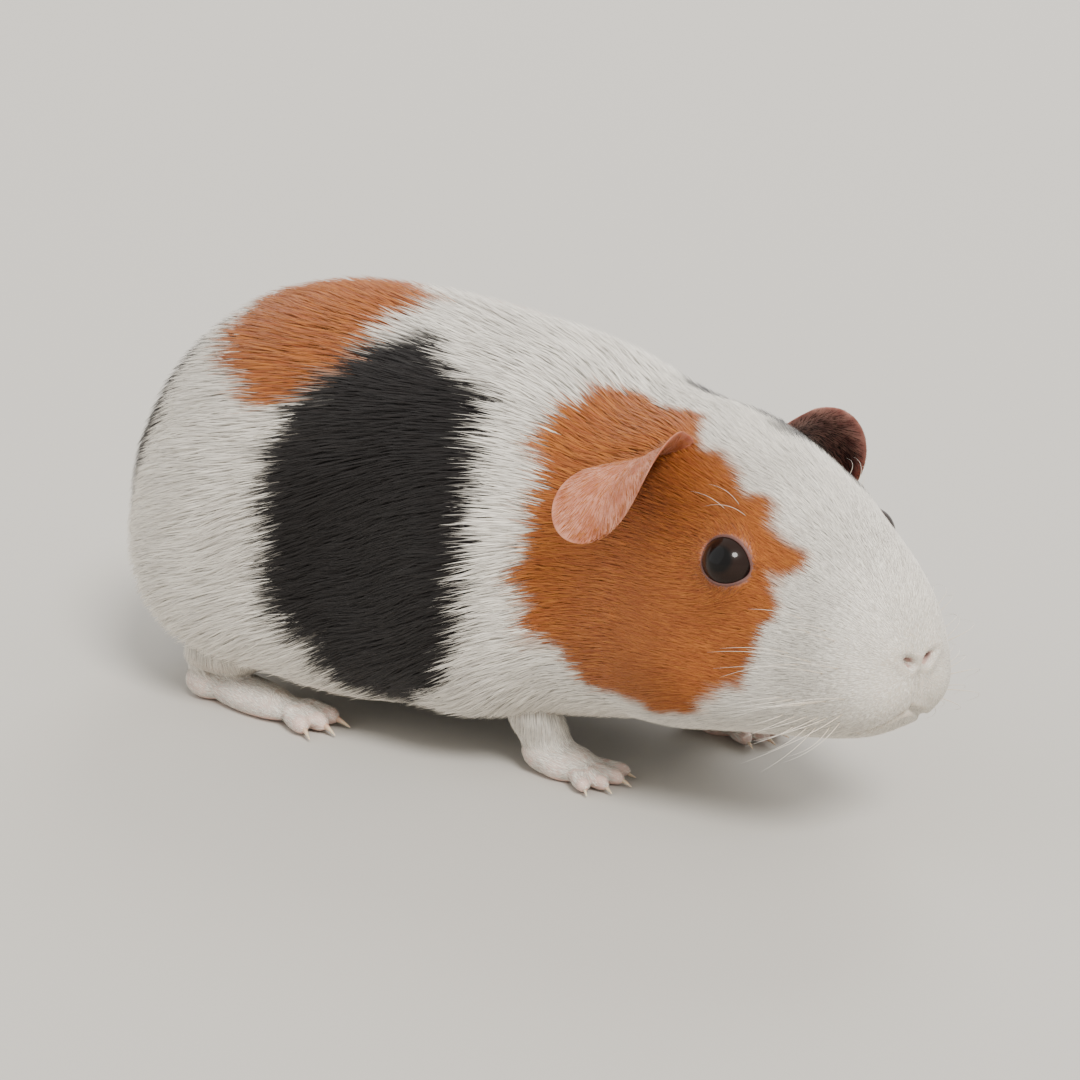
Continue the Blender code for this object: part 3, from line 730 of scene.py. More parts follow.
def make_lid(side_name, cell):
    eye = EYES[side_name]
    turns = np.linspace(0, 2 * math.pi, LID_TURNS, endpoint=False)
    profile = np.array(LID_PROFILE) * MM
    # The corners of the opening are drawn out a little to the front and the back.
    width = LID_OPENING[0] * (1 + 0.06 * np.abs(np.cos(turns)) ** 6)
    edge = np.stack([np.cos(turns) * width, np.sin(turns) * LID_OPENING[1]], -1)
    verts = []
    for out, height in profile:
        flat = edge + unit(edge) * out
        reach = np.minimum(np.hypot(flat[:, 0], flat[:, 1]), 0.97 * eye["radius"])
        level = np.sqrt(eye["radius"] ** 2 - reach**2) + height
        ring = flat[:, :1] * eye["ahead"] + flat[:, 1:] * eye["up"] + level[:, None] * eye["out"]
        verts.append(eye["centre"] + ring)
    verts = np.stack(verts, 1)
    count = len(profile)
    faces, corners = [], []
    for i in range(LID_TURNS):
        for k in range(count):
            ring = [(i, k), (i + 1, k), (i + 1, k + 1), (i, k + 1)]
            faces.append([(a % LID_TURNS) * count + b % count for a, b in ring])
            for a, b in ring:
                corners.append((0.05 + 0.2 * cell + 0.18 * a / LID_TURNS, 0.775 + 0.015 * b / count))
    mesh = bpy.data.meshes.new(f"lids {side_name}")
    mesh.from_pydata(verts.reshape(-1, 3).tolist(), [], faces)
    mesh.uv_layers.new(name="OFBake").data.foreach_set("uv", np.array(corners, np.float32).ravel())
    mesh.polygons.foreach_set("material_index", np.full(len(faces), LID, np.int32))
    return point_outwards(mesh)


lids = [make_lid(side_name, cell) for cell, side_name in enumerate(SIDES)]

# %% [markdown]
# ## One skin
# Ears, legs and lids are joined to the body with exact Booleans, which keep each face's slot and its place on
# the unwrap. A join leaves a hard crease, so the points near each join are relaxed towards their neighbours.

# %% Join the skins and relax the joins
def join_skins(whole, others):
    for other in others:
        join = whole.modifiers.new(other.name, "BOOLEAN")
        join.operation, join.solver, join.object = "UNION", "EXACT", other
        whole.data = evaluated(whole)
        bpy.data.objects.remove(other, do_unlink=True)
    return whole


def vertex_kinds(mesh):
    """For each point of the skin, the highest and lowest kind of the faces round it."""
    loops = read(mesh.loops, "vertex_index", kind=np.int32)
    kinds = read(mesh.polygons, "material_index", kind=np.int32)
    per_loop = np.repeat(kinds, read(mesh.polygons, "loop_total", kind=np.int32))
    high, low = np.zeros(len(mesh.vertices), int), np.full(len(mesh.vertices), 9)
    np.maximum.at(high, loops, per_loop)
    np.minimum.at(low, loops, per_loop)
    return high, low


FAR_AWAY = 99.0


def lid_opening(points):
    """How far points lie from the nearer eye's middle, as a share of its opening between the lids."""
    nearest = np.full(points.shape[:-1], FAR_AWAY)
    for eye in EYES.values():
        away = points - eye["centre"]
        share = np.hypot(away @ eye["ahead"] / LID_OPENING[0], away @ eye["up"] / LID_OPENING[1])
        nearest = np.minimum(nearest, np.where(away @ eye["out"] > -3 * MM, share, FAR_AWAY))
    return nearest


def relax_joins(mesh, rings=5, steps=16):
    high, low = vertex_kinds(mesh)
    edges, points = mesh_edges(mesh), mesh_points(mesh)
    near = high != low
    for _ in range(rings):
        touched = near[edges].any(1)
        near[edges[touched].ravel()] = True
    near &= (lid_opening(points) > 1.14) & (points[:, 2] > 0.3 * MM)
    # The muzzle's grooves are softened a little as well.
    muzzle = 0.55 * np.clip((26 * MM - NOSE_X + straighten(points)[:, 0]) / (6 * MM), 0, 1)
    points = relaxed(mesh, points, near.astype(float), steps)
    points = relaxed(mesh, points, muzzle, 2)
    mesh.vertices.foreach_set("co", points.ravel())
    mesh.update()


guide = bpy.data.objects.new("body guide", skin.data.copy())
join_skins(skin, ears + limb_skins + lids)
relax_joins(skin.data)
skin.name = skin.data.name = "skin"
faces_beside = np.bincount(read(skin.data.loops, "edge_index", kind=np.int32), minlength=len(skin.data.edges))
print("skin:", len(skin.data.polygons), "faces,", int((faces_beside != 2).sum()), "open edges")

# %% [markdown]
# ## What the coat asks of the skin
# Hair needs to know how long it is, which way it lies and how thick the coat is over each place. Painting
# that by hand would be slow, so each is worked out from where the point is on the straight animal and stored
# on the skin's points. The markings are laid out there as well, so hair and skin agree about every patch.

# %% Store a value on every point of a mesh
def store(mesh, name, values, domain="POINT"):
    kind = "FLOAT_VECTOR" if values.ndim == 2 else "INT" if values.dtype.kind in "iu" else "FLOAT"
    layer = mesh.attributes.new(name, kind, domain)
    layer.data.foreach_set("vector" if values.ndim == 2 else "value", values.ravel())


def soft_normals(mesh, steps=6):
    """The points' normals, smoothed so that hair doesn't bristle at the joins."""
    return unit(relaxed(mesh, read(mesh.vertex_normals, "vector", 3), np.ones(len(mesh.vertices)), steps))


# %% How long the hair is, how thick the coat, and how many locks grow
# Distance from the nose and the hair's length there, both in mm.
HAIR_LENGTHS = [
    (0, 0.9), (4, 1.5), (8, 2.3), (16, 3.3), (25, 4.6), (40, 6.2), (60, 9), (80, 13), (110, 17), (250, 20),
]
# Distance from the nose in mm and the locks for each square millimetre.
LOCK_DENSITY = [(0, 12.5), (8, 11), (24, 10.5), (57, 9.5), (59, 5.6), (90, 5.0), (94, 2.6), (250, 2.5)]
# Hair is short beside the eye and on the feet, and grows longer away from them: the least and what is added.
EYE_HAIR, FOOT_HAIR = (1.3, 5.2), (2.4, 9.0)
# Locks for each square metre: on the feet, how many fewer there are up the leg, and on the ears.
FOOT_LOCKS, LEG_LOCKS_FEWER, EAR_LOCKS = 5.4e6, 1.4e6, 2.6e6
EAR_HAIR, EAR_COAT = 2.1 * MM, 0.35 * MM
BARE_SOLE, BARE_GROOVE = 1.3 * MM, -0.45 * MM  # no hair grows below this height, or in a groove this deep
HANG = 0.55


def smooth_step(values, start, end):
    share = np.clip((values - start) / (end - start), 0, 1)
    return share * share * (3 - 2 * share)


def skirt(plain):
    """Where hair hangs clear of the body like a skirt: along the lower flanks, from shoulder to haunch."""
    s, aside = NOSE_X - plain[:, 0], np.abs(plain[:, 1])
    low = smooth_step(-plain[:, 2], -36 * MM, -16 * MM) * smooth_step(aside, 0.018, 0.034)
    return low * smooth_step(s, 0.085, 0.115) * (1 - smooth_step(s, 0.205, 0.235))


def coat_sizes(points, plain, kinds):
    """The hair's length, the coat's depth, how many locks grow and how far they hang, at each point."""
    s = NOSE_X - plain[:, 0]
    lengths, density = np.array(HAIR_LENGTHS) * MM, np.array(LOCK_DENSITY)
    length = np.interp(s, lengths[:, 0], lengths[:, 1])
    # It is shorter under the body, and most of all below the haunches, where it would curl up over the rump.
    under = np.clip((30 * MM - plain[:, 2]) / (20 * MM), 0, 1)
    length *= 1 - under * (0.25 * smooth_step(s, 0.03, 0.09) + 0.4 * smooth_step(s, 0.19, 0.22))
    depth = coat_depth(plain)
    locks = np.interp(s, density[:, 0] * MM, density[:, 1]) * 1e6
    # Round the eyes.
    opening = lid_opening(points)
    around = smooth_step(opening, 1.15, 2.6)
    length = np.where(s < 60 * MM, np.minimum(length, (EYE_HAIR[0] + EYE_HAIR[1] * around) * MM), length)
    locks = np.where(opening < 1.13, 0, locks)
    # On the legs, with bare soles.
    limb, height = kinds == LIMB, points[:, 2]
    up = smooth_step(height, 5 * MM, 30 * MM)
    length = np.where(limb, (FOOT_HAIR[0] + FOOT_HAIR[1] * up) * MM, length)
    leg_depth = FOOT_COAT + (LEG_COAT - FOOT_COAT) * smooth_step(height, 8 * MM, 20 * MM)
    depth = np.where(limb, leg_depth, depth)
    locks = np.where(limb, FOOT_LOCKS - LEG_LOCKS_FEWER * up, locks)
    locks = np.where(limb & (height < BARE_SOLE), 0, locks)
    # On the ears, and none in the grooves of nose and mouth.
    ear = kinds == EAR
    length = np.where(ear, EAR_HAIR, length)
    depth = np.where(ear, EAR_COAT, depth)
    locks = np.where(ear, EAR_LOCKS, locks)
    sunk = np.where(s < 20 * MM, face_relief(plain), 0)
    locks = np.where(sunk < BARE_GROOVE, 0, locks)
    return length, depth, locks, np.where(limb | ear, 0, HANG * skirt(plain))


# %% Which way the hair lies
NOSE_TIP = np.array([NOSE_X, 0, 46 * MM])


def body_flow(plain):
    """Hair runs back from the nose, parts round the eyes, sinks along the flanks and falls over the rump."""
    s = NOSE_X - plain[:, 0]
    back = np.zeros_like(plain)
    back[:, 0] = -1
    back[:, 2] = -0.42 * smooth_step(s, 0.03, 0.12) * smooth_step(np.abs(plain[:, 1]), 0.01, 0.04)
    back[:, 2] -= 1.5 * smooth_step(s, 0.205, 0.245)
    from_nose = plain - NOSE_TIP
    from_nose[:, 0] = 0
    flow = back + 1.2 * from_nose / (8 * MM) * np.exp(-s / (9 * MM))[:, None]
    for angle in EYE_ANGLES.values():
        away = plain - body_point(EYE_FROM_NOSE, angle)
        gap = np.linalg.norm(away, axis=1)[:, None]
        flow += 1.1 * away / np.maximum(gap, 1e-6) * np.exp(-((gap / (8.5 * MM)) ** 3))
    return turn_directions(flow, s)


def limb_flow(points):
    """Hair runs down the legs and forward along the feet, where it fans out with the toes."""
    forward = 1 - smooth_step(points[:, 2], 5 * MM, 13 * MM)
    down = np.stack([forward, 0 * forward, -(1 - forward) - 0.15], -1)
    for limb, shape in LIMBS.items():
        for side in SIDES.values():
            root = np.array(place(shape["toe_root"], side))
            fan = points - root
            fan[:, 2] = 0
            this_end = (points[:, 0] > 0) == (limb == "fore")
            toes = this_end & (points[:, 0] > root[0] - 2 * MM) & (np.sign(points[:, 1]) == side)
            down += np.where(toes[:, None], 0.9 * forward[:, None] * unit(fan + 1e-9), 0)
    return down


def coat_lie(points, plain, normals, kinds):
    """The hair's direction along the skin. On the ears it runs out from the root."""
    flow = np.where((kinds == LIMB)[:, None], limb_flow(points), body_flow(plain))
    for side in SIDES.values():
        ear = (kinds == EAR) & (np.sign(plain[:, 1]) == side)
        flow = np.where(ear[:, None], points - turn_head(mirrored(EAR_ROOT, side)), flow)
    flow -= normals * (flow * normals).sum(1)[:, None]
    return unit(flow + 1e-12)


# %% The coat's pieces
FACE_START, FACE_ENDS = 24 * MM, 58 * MM
SHOULDERS_END, FLANKS_END = 130 * MM, 200 * MM
# Each piece: the finish that it takes, its lock and the surface that its locks are bent on to.
COAT_PIECES = {
    "coat_muzzle": ("white_coat", "short lock", "skin"),
    "coat_face_right": ("golden_coat", "short lock", "skin"),
    "coat_face_left": ("dark_coat", "short lock", "skin"),
    "coat_neck_right": ("white_coat", "long lock", "guide"),
    "coat_neck_left": ("white_coat", "long lock", "guide"),
    "coat_shoulders": ("white_coat", "long lock", "guide"),
    "coat_flank_right": ("dark_coat", "long lock", "guide"),
    "coat_flank_left": ("golden_coat", "long lock", "guide"),
    "coat_rump": ("dark_coat", "long lock", "guide"),
    "coat_legs": ("white_coat", "short lock", "skin"),
    "coat_ears": ("golden_coat", "short lock", "skin"),
}


def coat_regions(plain, kinds):
    """For each face of the skin, which coat piece grows on it, as an index into COAT_PIECES."""
    index = {name: i for i, name in enumerate(COAT_PIECES)}
    s, left = NOSE_X - plain[:, 0], (plain[:, 1] > 0).astype(np.int32)
    # The pieces in pairs begin with the right one, and the left one follows it.
    choices = [
        (kinds == LIMB, index["coat_legs"] + 0 * left),
        (kinds == EAR, index["coat_ears"] + 0 * left),
        (s < FACE_START, index["coat_muzzle"] + 0 * left),
        (s < FACE_ENDS, index["coat_face_right"] + left),
        (s < NECK_END, index["coat_neck_right"] + left),
        (s < SHOULDERS_END, index["coat_shoulders"] + 0 * left),
        (s < FLANKS_END, index["coat_flank_right"] + left),
    ]
    tests, pieces = zip(*choices)
    return np.select(tests, pieces, index["coat_rump"] + 0 * left).astype(np.int32)


# %% Store all of it on the skin
def face_values(mesh, values):
    """The mean of a point value over each face."""
    loops = read(mesh.loops, "vertex_index", kind=np.int32)
    starts = read(mesh.polygons, "loop_start", kind=np.int32)
    sizes = read(mesh.polygons, "loop_total", kind=np.int32)
    return np.add.reduceat(values[loops], starts, axis=0) / sizes[:, None]


def bareness(points, plain, kinds, opening):
    """From 0 where the coat hides the skin to 1 where it is bare: grooves, lids, ears and soles."""
    sunk = np.where(plain[:, 0] > NOSE_X - 20 * MM, face_relief(plain), 0)
    bare = np.maximum(smooth_step(-sunk, 0.1 * MM, 0.8 * MM), 1 - smooth_step(opening, 1.1, 1.28))
    foot = 1 - smooth_step(points[:, 2], 1.5 * MM, 9 * MM) * 0.65
    return np.where(kinds == EAR, 0.85, np.where(kinds == LIMB, foot, bare))


def prepare_skin(mesh):
    points, normals = mesh_points(mesh), soft_normals(mesh)
    plain = straighten(points)
    kinds, _ = vertex_kinds(mesh)
    length, depth, locks, hang = coat_sizes(points, plain, kinds)
    opening = lid_opening(points)
    values = {
        "skin_normal": normals,
        "plain": plain,
        "lie": coat_lie(points, plain, normals, kinds),
        "hair_length": length,
        "coat_depth": depth,
        "locks": locks,
        "hang": hang,
        "bare": bareness(points, plain, kinds, opening),
        # the lid rims' own dark pigment, and painted shade down in the hollows of the nostrils
        "dark": np.maximum(1 - smooth_step(opening, 1.05, 1.2), nostril_depth(plain)),
    }
    for name, value in values.items():
        store(mesh, name, value)
    face_kinds = read(mesh.polygons, "material_index", kind=np.int32)
    store(mesh, "region", coat_regions(face_values(mesh, plain), face_kinds), "FACE")
    mesh.polygons.foreach_set("material_index", np.zeros(len(mesh.polygons), np.int32))
    shortest, longest, deepest = (round(v * 1000, 1) for v in (length.min(), length.max(), depth.max()))
    print("hair:", shortest, "to", longest, "mm long, coat", deepest, "mm deep at most")


prepare_skin(skin.data)
store(guide.data, "skin_normal", soft_normals(guide.data))

# %% [markdown]
# ## Node trees, a line at a time
# Two kinds of tree follow, for shapes and for materials. A small helper adds a node, links what is a socket
# and sets what is a value, so that a tree reads like the sum it is.

# %% A helper for node trees
class Graph:
    def __init__(self, tree):
        self.tree = tree

    def pick(self, sockets, key):
        """The socket of this name that is in use, as some nodes keep one for each kind of value."""
        if isinstance(key, int):
            return sockets[key]
        return next(socket for socket in sockets if socket.name == key and socket.enabled)

    def feed(self, socket, value):
        """Links a socket to this one, or sets its value."""
        if isinstance(value, bpy.types.NodeSocket):
            self.tree.links.new(value, socket)
        else:
            socket.default_value = value

    def add(self, kind, inputs=(), out=None, **settings):
        """Adds a node and gives one of its outputs."""
        node = self.tree.nodes.new(kind)
        for key, value in settings.items():
            setattr(node, key, value)
        for key, value in dict(inputs).items():
            self.feed(self.pick(node.inputs, key), value)
        shown = [socket for socket in node.outputs if socket.enabled]
        return self.pick(node.outputs, out) if out is not None else shown[0]

    def sum(self, operation, *values):
        return self.add("ShaderNodeMath", enumerate(values), operation=operation)

    def times(self, a, b):
        return self.sum("MULTIPLY", a, b)

    def vector(self, operation, *values, out=None):
        slots = [3 if operation == "SCALE" and i == 1 else i for i in range(len(values))]
        return self.add("ShaderNodeVectorMath", zip(slots, values), out, operation=operation)

    def xyz(self, x=0.0, y=0.0, z=0.0):
        return self.add("ShaderNodeCombineXYZ", {0: x, 1: y, 2: z})

    def noise(self, place, scale, detail, out=0, **inputs):
        inputs = {"Vector": place, "Scale": scale, "Detail": detail, **inputs}
        return self.add("ShaderNodeTexNoise", inputs, out)

    def spread(self, value, low, high, least=0.0, most=1.0, **settings):
        """Maps a value from low..high to least..most."""
        inputs = {"Value": value, "From Min": low, "From Max": high, "To Min": least, "To Max": most}
        return self.add("ShaderNodeMapRange", inputs, 0, **settings)

    def mix(self, factor, a, b, kind="RGBA", **settings):
        inputs = {"Factor": factor, "A": a, "B": b}
        return self.add("ShaderNodeMix", inputs, "Result", data_type=kind, **settings)


def group_inputs(graph, sockets):
    """Declares a group's inputs from {name: (kind, default)} and gives their sockets by name."""
    for name, (kind, default) in sockets.items():
        made = graph.tree.interface.new_socket(name=name, in_out="INPUT", socket_type=f"NodeSocket{kind}")
        if default is not None:
            made.default_value = default
    node = graph.tree.nodes.new("NodeGroupInput")
    return {name: graph.pick(node.outputs, name) for name in sockets}


def group_output(graph, name, kind, socket):
    """Declares a group's one output and links it."""
    graph.tree.interface.new_socket(name=name, in_out="OUTPUT", socket_type=f"NodeSocket{kind}")
    node = graph.tree.nodes.new("NodeGroupOutput")
    graph.tree.links.new(socket, graph.pick(node.inputs, name))
    return graph.tree


# %% [markdown]
# ## The coat
# A smooth-coated cavy has hair of two or three centimetres that lies flat, and the eye reads it as thousands
# of fine locks. Particle hair would give the same picture, but it isn't mesh and an exported model loses it.
# So Geometry Nodes scatter tapered locks over the skin, turn each along the lie, bend it on to the skin and
# lift its tip by the coat's depth. Locks next to each other stray the same way, which gives the soft partings
# of real fur.

# %% One lock, to be repeated
def make_lock(name, rings, pointed=False):
    """A closed, three-sided lock along +X, a unit long and wide. rings gives the place and half width of each
    ring, and a pointed lock narrows to its root as well as to its tip."""
    rows = []
    for along, half in rings:
        rows.extend([(along, -half, 0), (along, 0, half), (along, half, 0)])
    tip, root = len(rows), len(rows) + 1
    ends = [(1, 0, 0), (0, 0, 0)] if pointed else [(1, 0, 0)]
    verts = np.array(rows + ends, float)
    faces = [(root, k, (k + 1) % 3) for k in range(3)] if pointed else [(0, 1, 2)]
    for r in range(len(rings) - 1):
        for k in range(3):
            a, b = 3 * r + k, 3 * r + (k + 1) % 3
            faces.extend([(a, a + 3, b), (b, a + 3, b + 3)])
    last = 3 * (len(rings) - 1)
    faces.extend((last + k, tip, last + (k + 1) % 3) for k in range(3))
    mesh = bpy.data.meshes.new(name)
    mesh.from_pydata(verts.tolist(), [], faces)
    for label, values in (("t", verts[:, 0]), ("side", 2 * verts[:, 1]), ("up", verts[:, 2])):
        store(mesh, label, values)
    return point_outwards(mesh)


locks = {
    "short lock": make_lock("short lock", [(0, 0.5)]),
    "long lock": make_lock("long lock", [(0.38, 0.5)], pointed=True),
}
print("locks:", {name: len(obj.data.polygons) for name, obj in locks.items()}, "triangles")


# %% The tree that grows a coat
LOCK_PATCH = 0.003  # each lock's share of its piece's map
LENGTH_VARIES, WIDTH_VARIES = (0.72, 1.15), (0.75, 1.25)
LOCK_THICKNESS = 0.7  # for its width
TIP_RISES = 1.5  # how soon a lock rises from its root: more is sooner
ROOT_SINKS = 0.3  # a share of its thickness
OWN_SHADE, SKIN_SHADE = 0.55, 0.45


def build_coat_tree():
    g = Graph(bpy.data.node_groups.new("grow coat", "GeometryNodeTree"))
    given = group_inputs(g, {
        "Skin": ("Geometry", None),
        "Region": ("Int", 0),
        "Density": ("Float", 1.0),
        "Length": ("Float", 1.0),
        "Least width": ("Float", 0.00017),
        "Width for length": ("Float", 0.019),
        "Stray": ("Float", 0.12),
        "Parting": ("Float", 0.42),
        "Parting scale": ("Float", 60.0),
        "Least lift": ("Float", 0.45),
        "Lowest": ("Float", 0.0004),
        "Seed": ("Int", 1),
        "Lock": ("Object", None),
        "Surface": ("Object", None),
        "Material": ("Material", None),
    })

    def named(name, kind="FLOAT"):
        return g.add("GeometryNodeInputNamedAttribute", {"Name": name}, data_type=kind)

    def keep(geometry, name, value, kind="FLOAT", domain="POINT"):
        inputs = {"Geometry": geometry, "Name": name, "Value": value}
        return g.add("GeometryNodeStoreNamedAttribute", inputs, data_type=kind, domain=domain)

    def chance(low, high, step):
        inputs = {"Min": low, "Max": high, "Seed": g.sum("ADD", given["Seed"], step)}
        return g.add("FunctionNodeRandomValue", inputs, data_type="FLOAT")

    def nearest(surface, value, place_now):
        inputs = {"Mesh": surface, "Value": value, "Sample Position": place_now}
        return g.add("GeometryNodeSampleNearestSurface", inputs, data_type="FLOAT_VECTOR")

    # Scatter the roots over this region.
    regions = {"A": named("region", "INT"), "B": given["Region"]}
    here = g.add("FunctionNodeCompare", regions, data_type="INT", operation="EQUAL")
    density = g.times(named("locks"), given["Density"])
    scatter = {"Mesh": given["Skin"], "Selection": here, "Density": density, "Seed": given["Seed"]}
    roots = g.add("GeometryNodeDistributePointsOnFaces", scatter, "Points")

    # Each lock strays a little from the lie, and its neighbours stray with it.
    plain, lie, normal = (named(name, "FLOAT_VECTOR") for name in ("plain", "lie", "skin_normal"))
    drift = g.noise(plain, given["Parting scale"], 2.0)
    swing = g.times(g.sum("MULTIPLY_ADD", drift, 2.0, -1.0), given["Parting"])
    swing = g.sum("ADD", swing, g.times(chance(-1.0, 1.0, 1), given["Stray"]))
    aside = g.vector("SCALE", g.vector("CROSS_PRODUCT", normal, lie), swing)
    axes = {"Primary Axis": g.vector("NORMALIZE", g.vector("ADD", lie, aside)), "Secondary Axis": normal}
    turned = g.add("FunctionNodeAxesToRotation", axes, primary_axis="X", secondary_axis="Z")

    # Its size, and what its points will need once they are real.
    length = g.times(g.times(named("hair_length"), given["Length"]), chance(*LENGTH_VARIES, 2))
    width = g.sum("MULTIPLY_ADD", length, given["Width for length"], given["Least width"])
    width = g.times(width, chance(*WIDTH_VARIES, 3))
    lift = g.times(named("coat_depth"), g.spread(chance(0.0, 1.0, 4), 0.0, 1.0, given["Least lift"]))
    roots = keep(roots, "lift", lift)
    roots = keep(roots, "thick", g.times(width, LOCK_THICKNESS))
    roots = keep(roots, "shade", chance(0.0, 1.0, 5))
    roots = keep(roots, "root", plain, "FLOAT_VECTOR")
    roots = keep(roots, "patch", named("OFBake", "FLOAT_VECTOR"), "FLOAT_VECTOR")
    lock = g.add("GeometryNodeObjectInfo", {"Object": given["Lock"]}, "Geometry")
    planted = {"Points": roots, "Instance": lock, "Rotation": turned, "Scale": g.xyz(length, width, width)}
    grown = g.add("GeometryNodeInstanceOnPoints", planted)
    grown = g.add("GeometryNodeRealizeInstances", {0: grown})

    # Bend it on to the skin and lift it towards the tip.
    surface = g.add("GeometryNodeObjectInfo", {"Object": given["Surface"]}, "Geometry")
    position = g.add("GeometryNodeInputPosition")
    under = nearest(surface, position, position)
    facing = g.vector("NORMALIZE", nearest(surface, normal, position))
    grown = keep(grown, "facing", facing, "FLOAT_VECTOR")
    t, thick = named("t"), named("thick")
    to_tip = g.sum("SUBTRACT", 1.0, t)
    rise = g.sum("SUBTRACT", 1.0, g.sum("POWER", to_tip, TIP_RISES))
    height = g.times(g.sum("SUBTRACT", named("lift"), thick), rise)
    own_height = g.sum("SUBTRACT", named("up"), g.times(ROOT_SINKS, to_tip))
    height = g.sum("ADD", height, g.times(thick, own_height))
    laid = g.vector("ADD", under, g.vector("SCALE", facing, height))
    place_now = g.mix(g.times(named("hang"), t), laid, position, kind="VECTOR")
    parts = g.add("ShaderNodeSeparateXYZ", {0: place_now}).node.outputs
    above = g.xyz(parts[0], parts[1], g.sum("MAXIMUM", parts[2], given["Lowest"]))
    grown = g.add("GeometryNodeSetPosition", {"Geometry": grown, "Position": above})

    # Half of the shading comes from the skin below, so that the coat shades as one soft form.
    own = g.vector("SCALE", g.add("GeometryNodeInputNormal"), OWN_SHADE)
    below = g.vector("SCALE", named("facing", "FLOAT_VECTOR"), SKIN_SHADE)
    soft = g.vector("NORMALIZE", g.vector("ADD", own, below))
    shading = {"Mesh": grown, "Custom Normal": soft}
    grown = g.add("GeometryNodeSetMeshNormal", shading, mode="FREE", domain="POINT")

    # Its patch of the map lies round its root's place.
    across = g.times(named("side"), LOCK_PATCH / 2)
    along = g.times(g.sum("SUBTRACT", t, 0.5), LOCK_PATCH)
    patch = g.vector("ADD", named("patch", "FLOAT_VECTOR"), g.xyz(across, along))
    grown = keep(grown, "OFBake", patch, "FLOAT2", "CORNER")
    grown = g.add("GeometryNodeRealizeInstances", {0: grown})
    grown = g.add("GeometryNodeSetMaterial", {"Geometry": grown, "Material": given["Material"]})
    return group_output(g, "Coat", "Geometry", grown)


coat_tree = build_coat_tree()
print("coat tree:", len(coat_tree.nodes), "nodes")

# %% [markdown]
# ## The markings
# This cavy has three colours: a white coat with ginger and black patches whose edges wander. One shader
# group describes them. It takes a place on the straight animal and gives the colour there, so the skin and
# every lock ask the same question and get the same answer. Each patch is an ellipsoid whose distance is
# disturbed by noise, which is easier to steer than a painted map and needs no picture.

# %% The patches
def colour(red, green, blue):
    """A linear colour from the 0 to 255 values of a paint chart."""
    shares = [v / 255 for v in (red, green, blue)]
    return (*(((v + 0.055) / 1.055) ** 2.4 if v > 0.04 else v / 12.92 for v in shares), 1.0)


WHITE, GINGER, BLACK = colour(240, 233, 221), colour(172, 98, 44), colour(27, 22, 21)
# Each patch: its colour, its middle and its reach each way on the straight animal, in mm.
PATCHES = {
    "right cheek": (GINGER, (74, -36, 64), (37, 33, 36)),
    "left cheek": (BLACK, (75, 36, 64), (36, 33, 38)),
    "right ear": (GINGER, (52, -34, 82), (20, 26, 16)),
    "left ear": (BLACK, (52, 34, 82), (20, 26, 16)),
    "right saddle": (BLACK, (-2, -48, 66), (33, 34, 48)),
    "left saddle": (GINGER, (-8, 46, 62), (40, 38, 50)),
    "back": (GINGER, (-44, -14, 108), (28, 36, 34)),
    "rump": (BLACK, (-122, 4, 62), (50, 56, 74)),
}


def build_markings():
    g = Graph(bpy.data.node_groups.new("markings", "ShaderNodeTree"))
    given = group_inputs(g, {
        "Place": ("Vector", None),
        "Wander": ("Float", 0.03),
        "Edge": ("Float", 0.05),
        "Scale": ("Float", 42.0),
    })
    stir = g.noise(given["Place"], given["Scale"], 3.0, out=1, Roughness=0.6)
    shift = g.vector("SCALE", g.vector("SUBTRACT", stir, (0.5, 0.5, 0.5)), given["Wander"])
    place_now = g.vector("ADD", given["Place"], shift)
    outside, inside = g.sum("ADD", 1.0, given["Edge"]), g.sum("SUBTRACT", 1.0, given["Edge"])
    paint = WHITE
    for tint, middle, reach in PATCHES.values():
        away = g.vector("SUBTRACT", place_now, tuple(v * MM for v in middle))
        away = g.vector("DIVIDE", away, tuple(v * MM for v in reach))
        gap = g.vector("LENGTH", away, out=1)
        paint = g.mix(g.spread(gap, outside, inside, interpolation_type="SMOOTHSTEP"), paint, tint)
    return group_output(g, "Colour", "Color", paint)


markings = build_markings()
print("markings:", len(PATCHES), "patches on white")

# %% [markdown]
# ## Finishes
# Hair is darker at its root, partly by its own darker undercolour and partly by painted shade where the locks
# lie over one another; it is paler and duller at its tip, and no two locks match. Skin shows only on ears,
# soles,
# lids, lips and round the nostrils: it is thin and pink, with fine creases, and light passes into it. The eye
# is nearly black with a wet coat. Claws are horn, pinkish at the root where the quick shows through.

# %% A material and its shader
def new_material(name, **values):
    material = bpy.data.materials.new(name)
    material.use_nodes = True
    shader = material.node_tree.nodes["Principled BSDF"]
    for key, value in values.items():
        shader.inputs[key.replace("_", " ")].default_value = value
    return material, Graph(material.node_tree), shader


def attribute(graph, name, output="Fac"):
    return graph.add("ShaderNodeAttribute", out=output, attribute_name=name)


def group_colour(graph, tree, inputs):
    """Places a shader group and gives its colour."""
    node = graph.tree.nodes.new("ShaderNodeGroup")
    node.node_tree = tree
    for key, value in inputs.items():
        graph.feed(node.inputs[key], value)
    return node.outputs["Colour"]


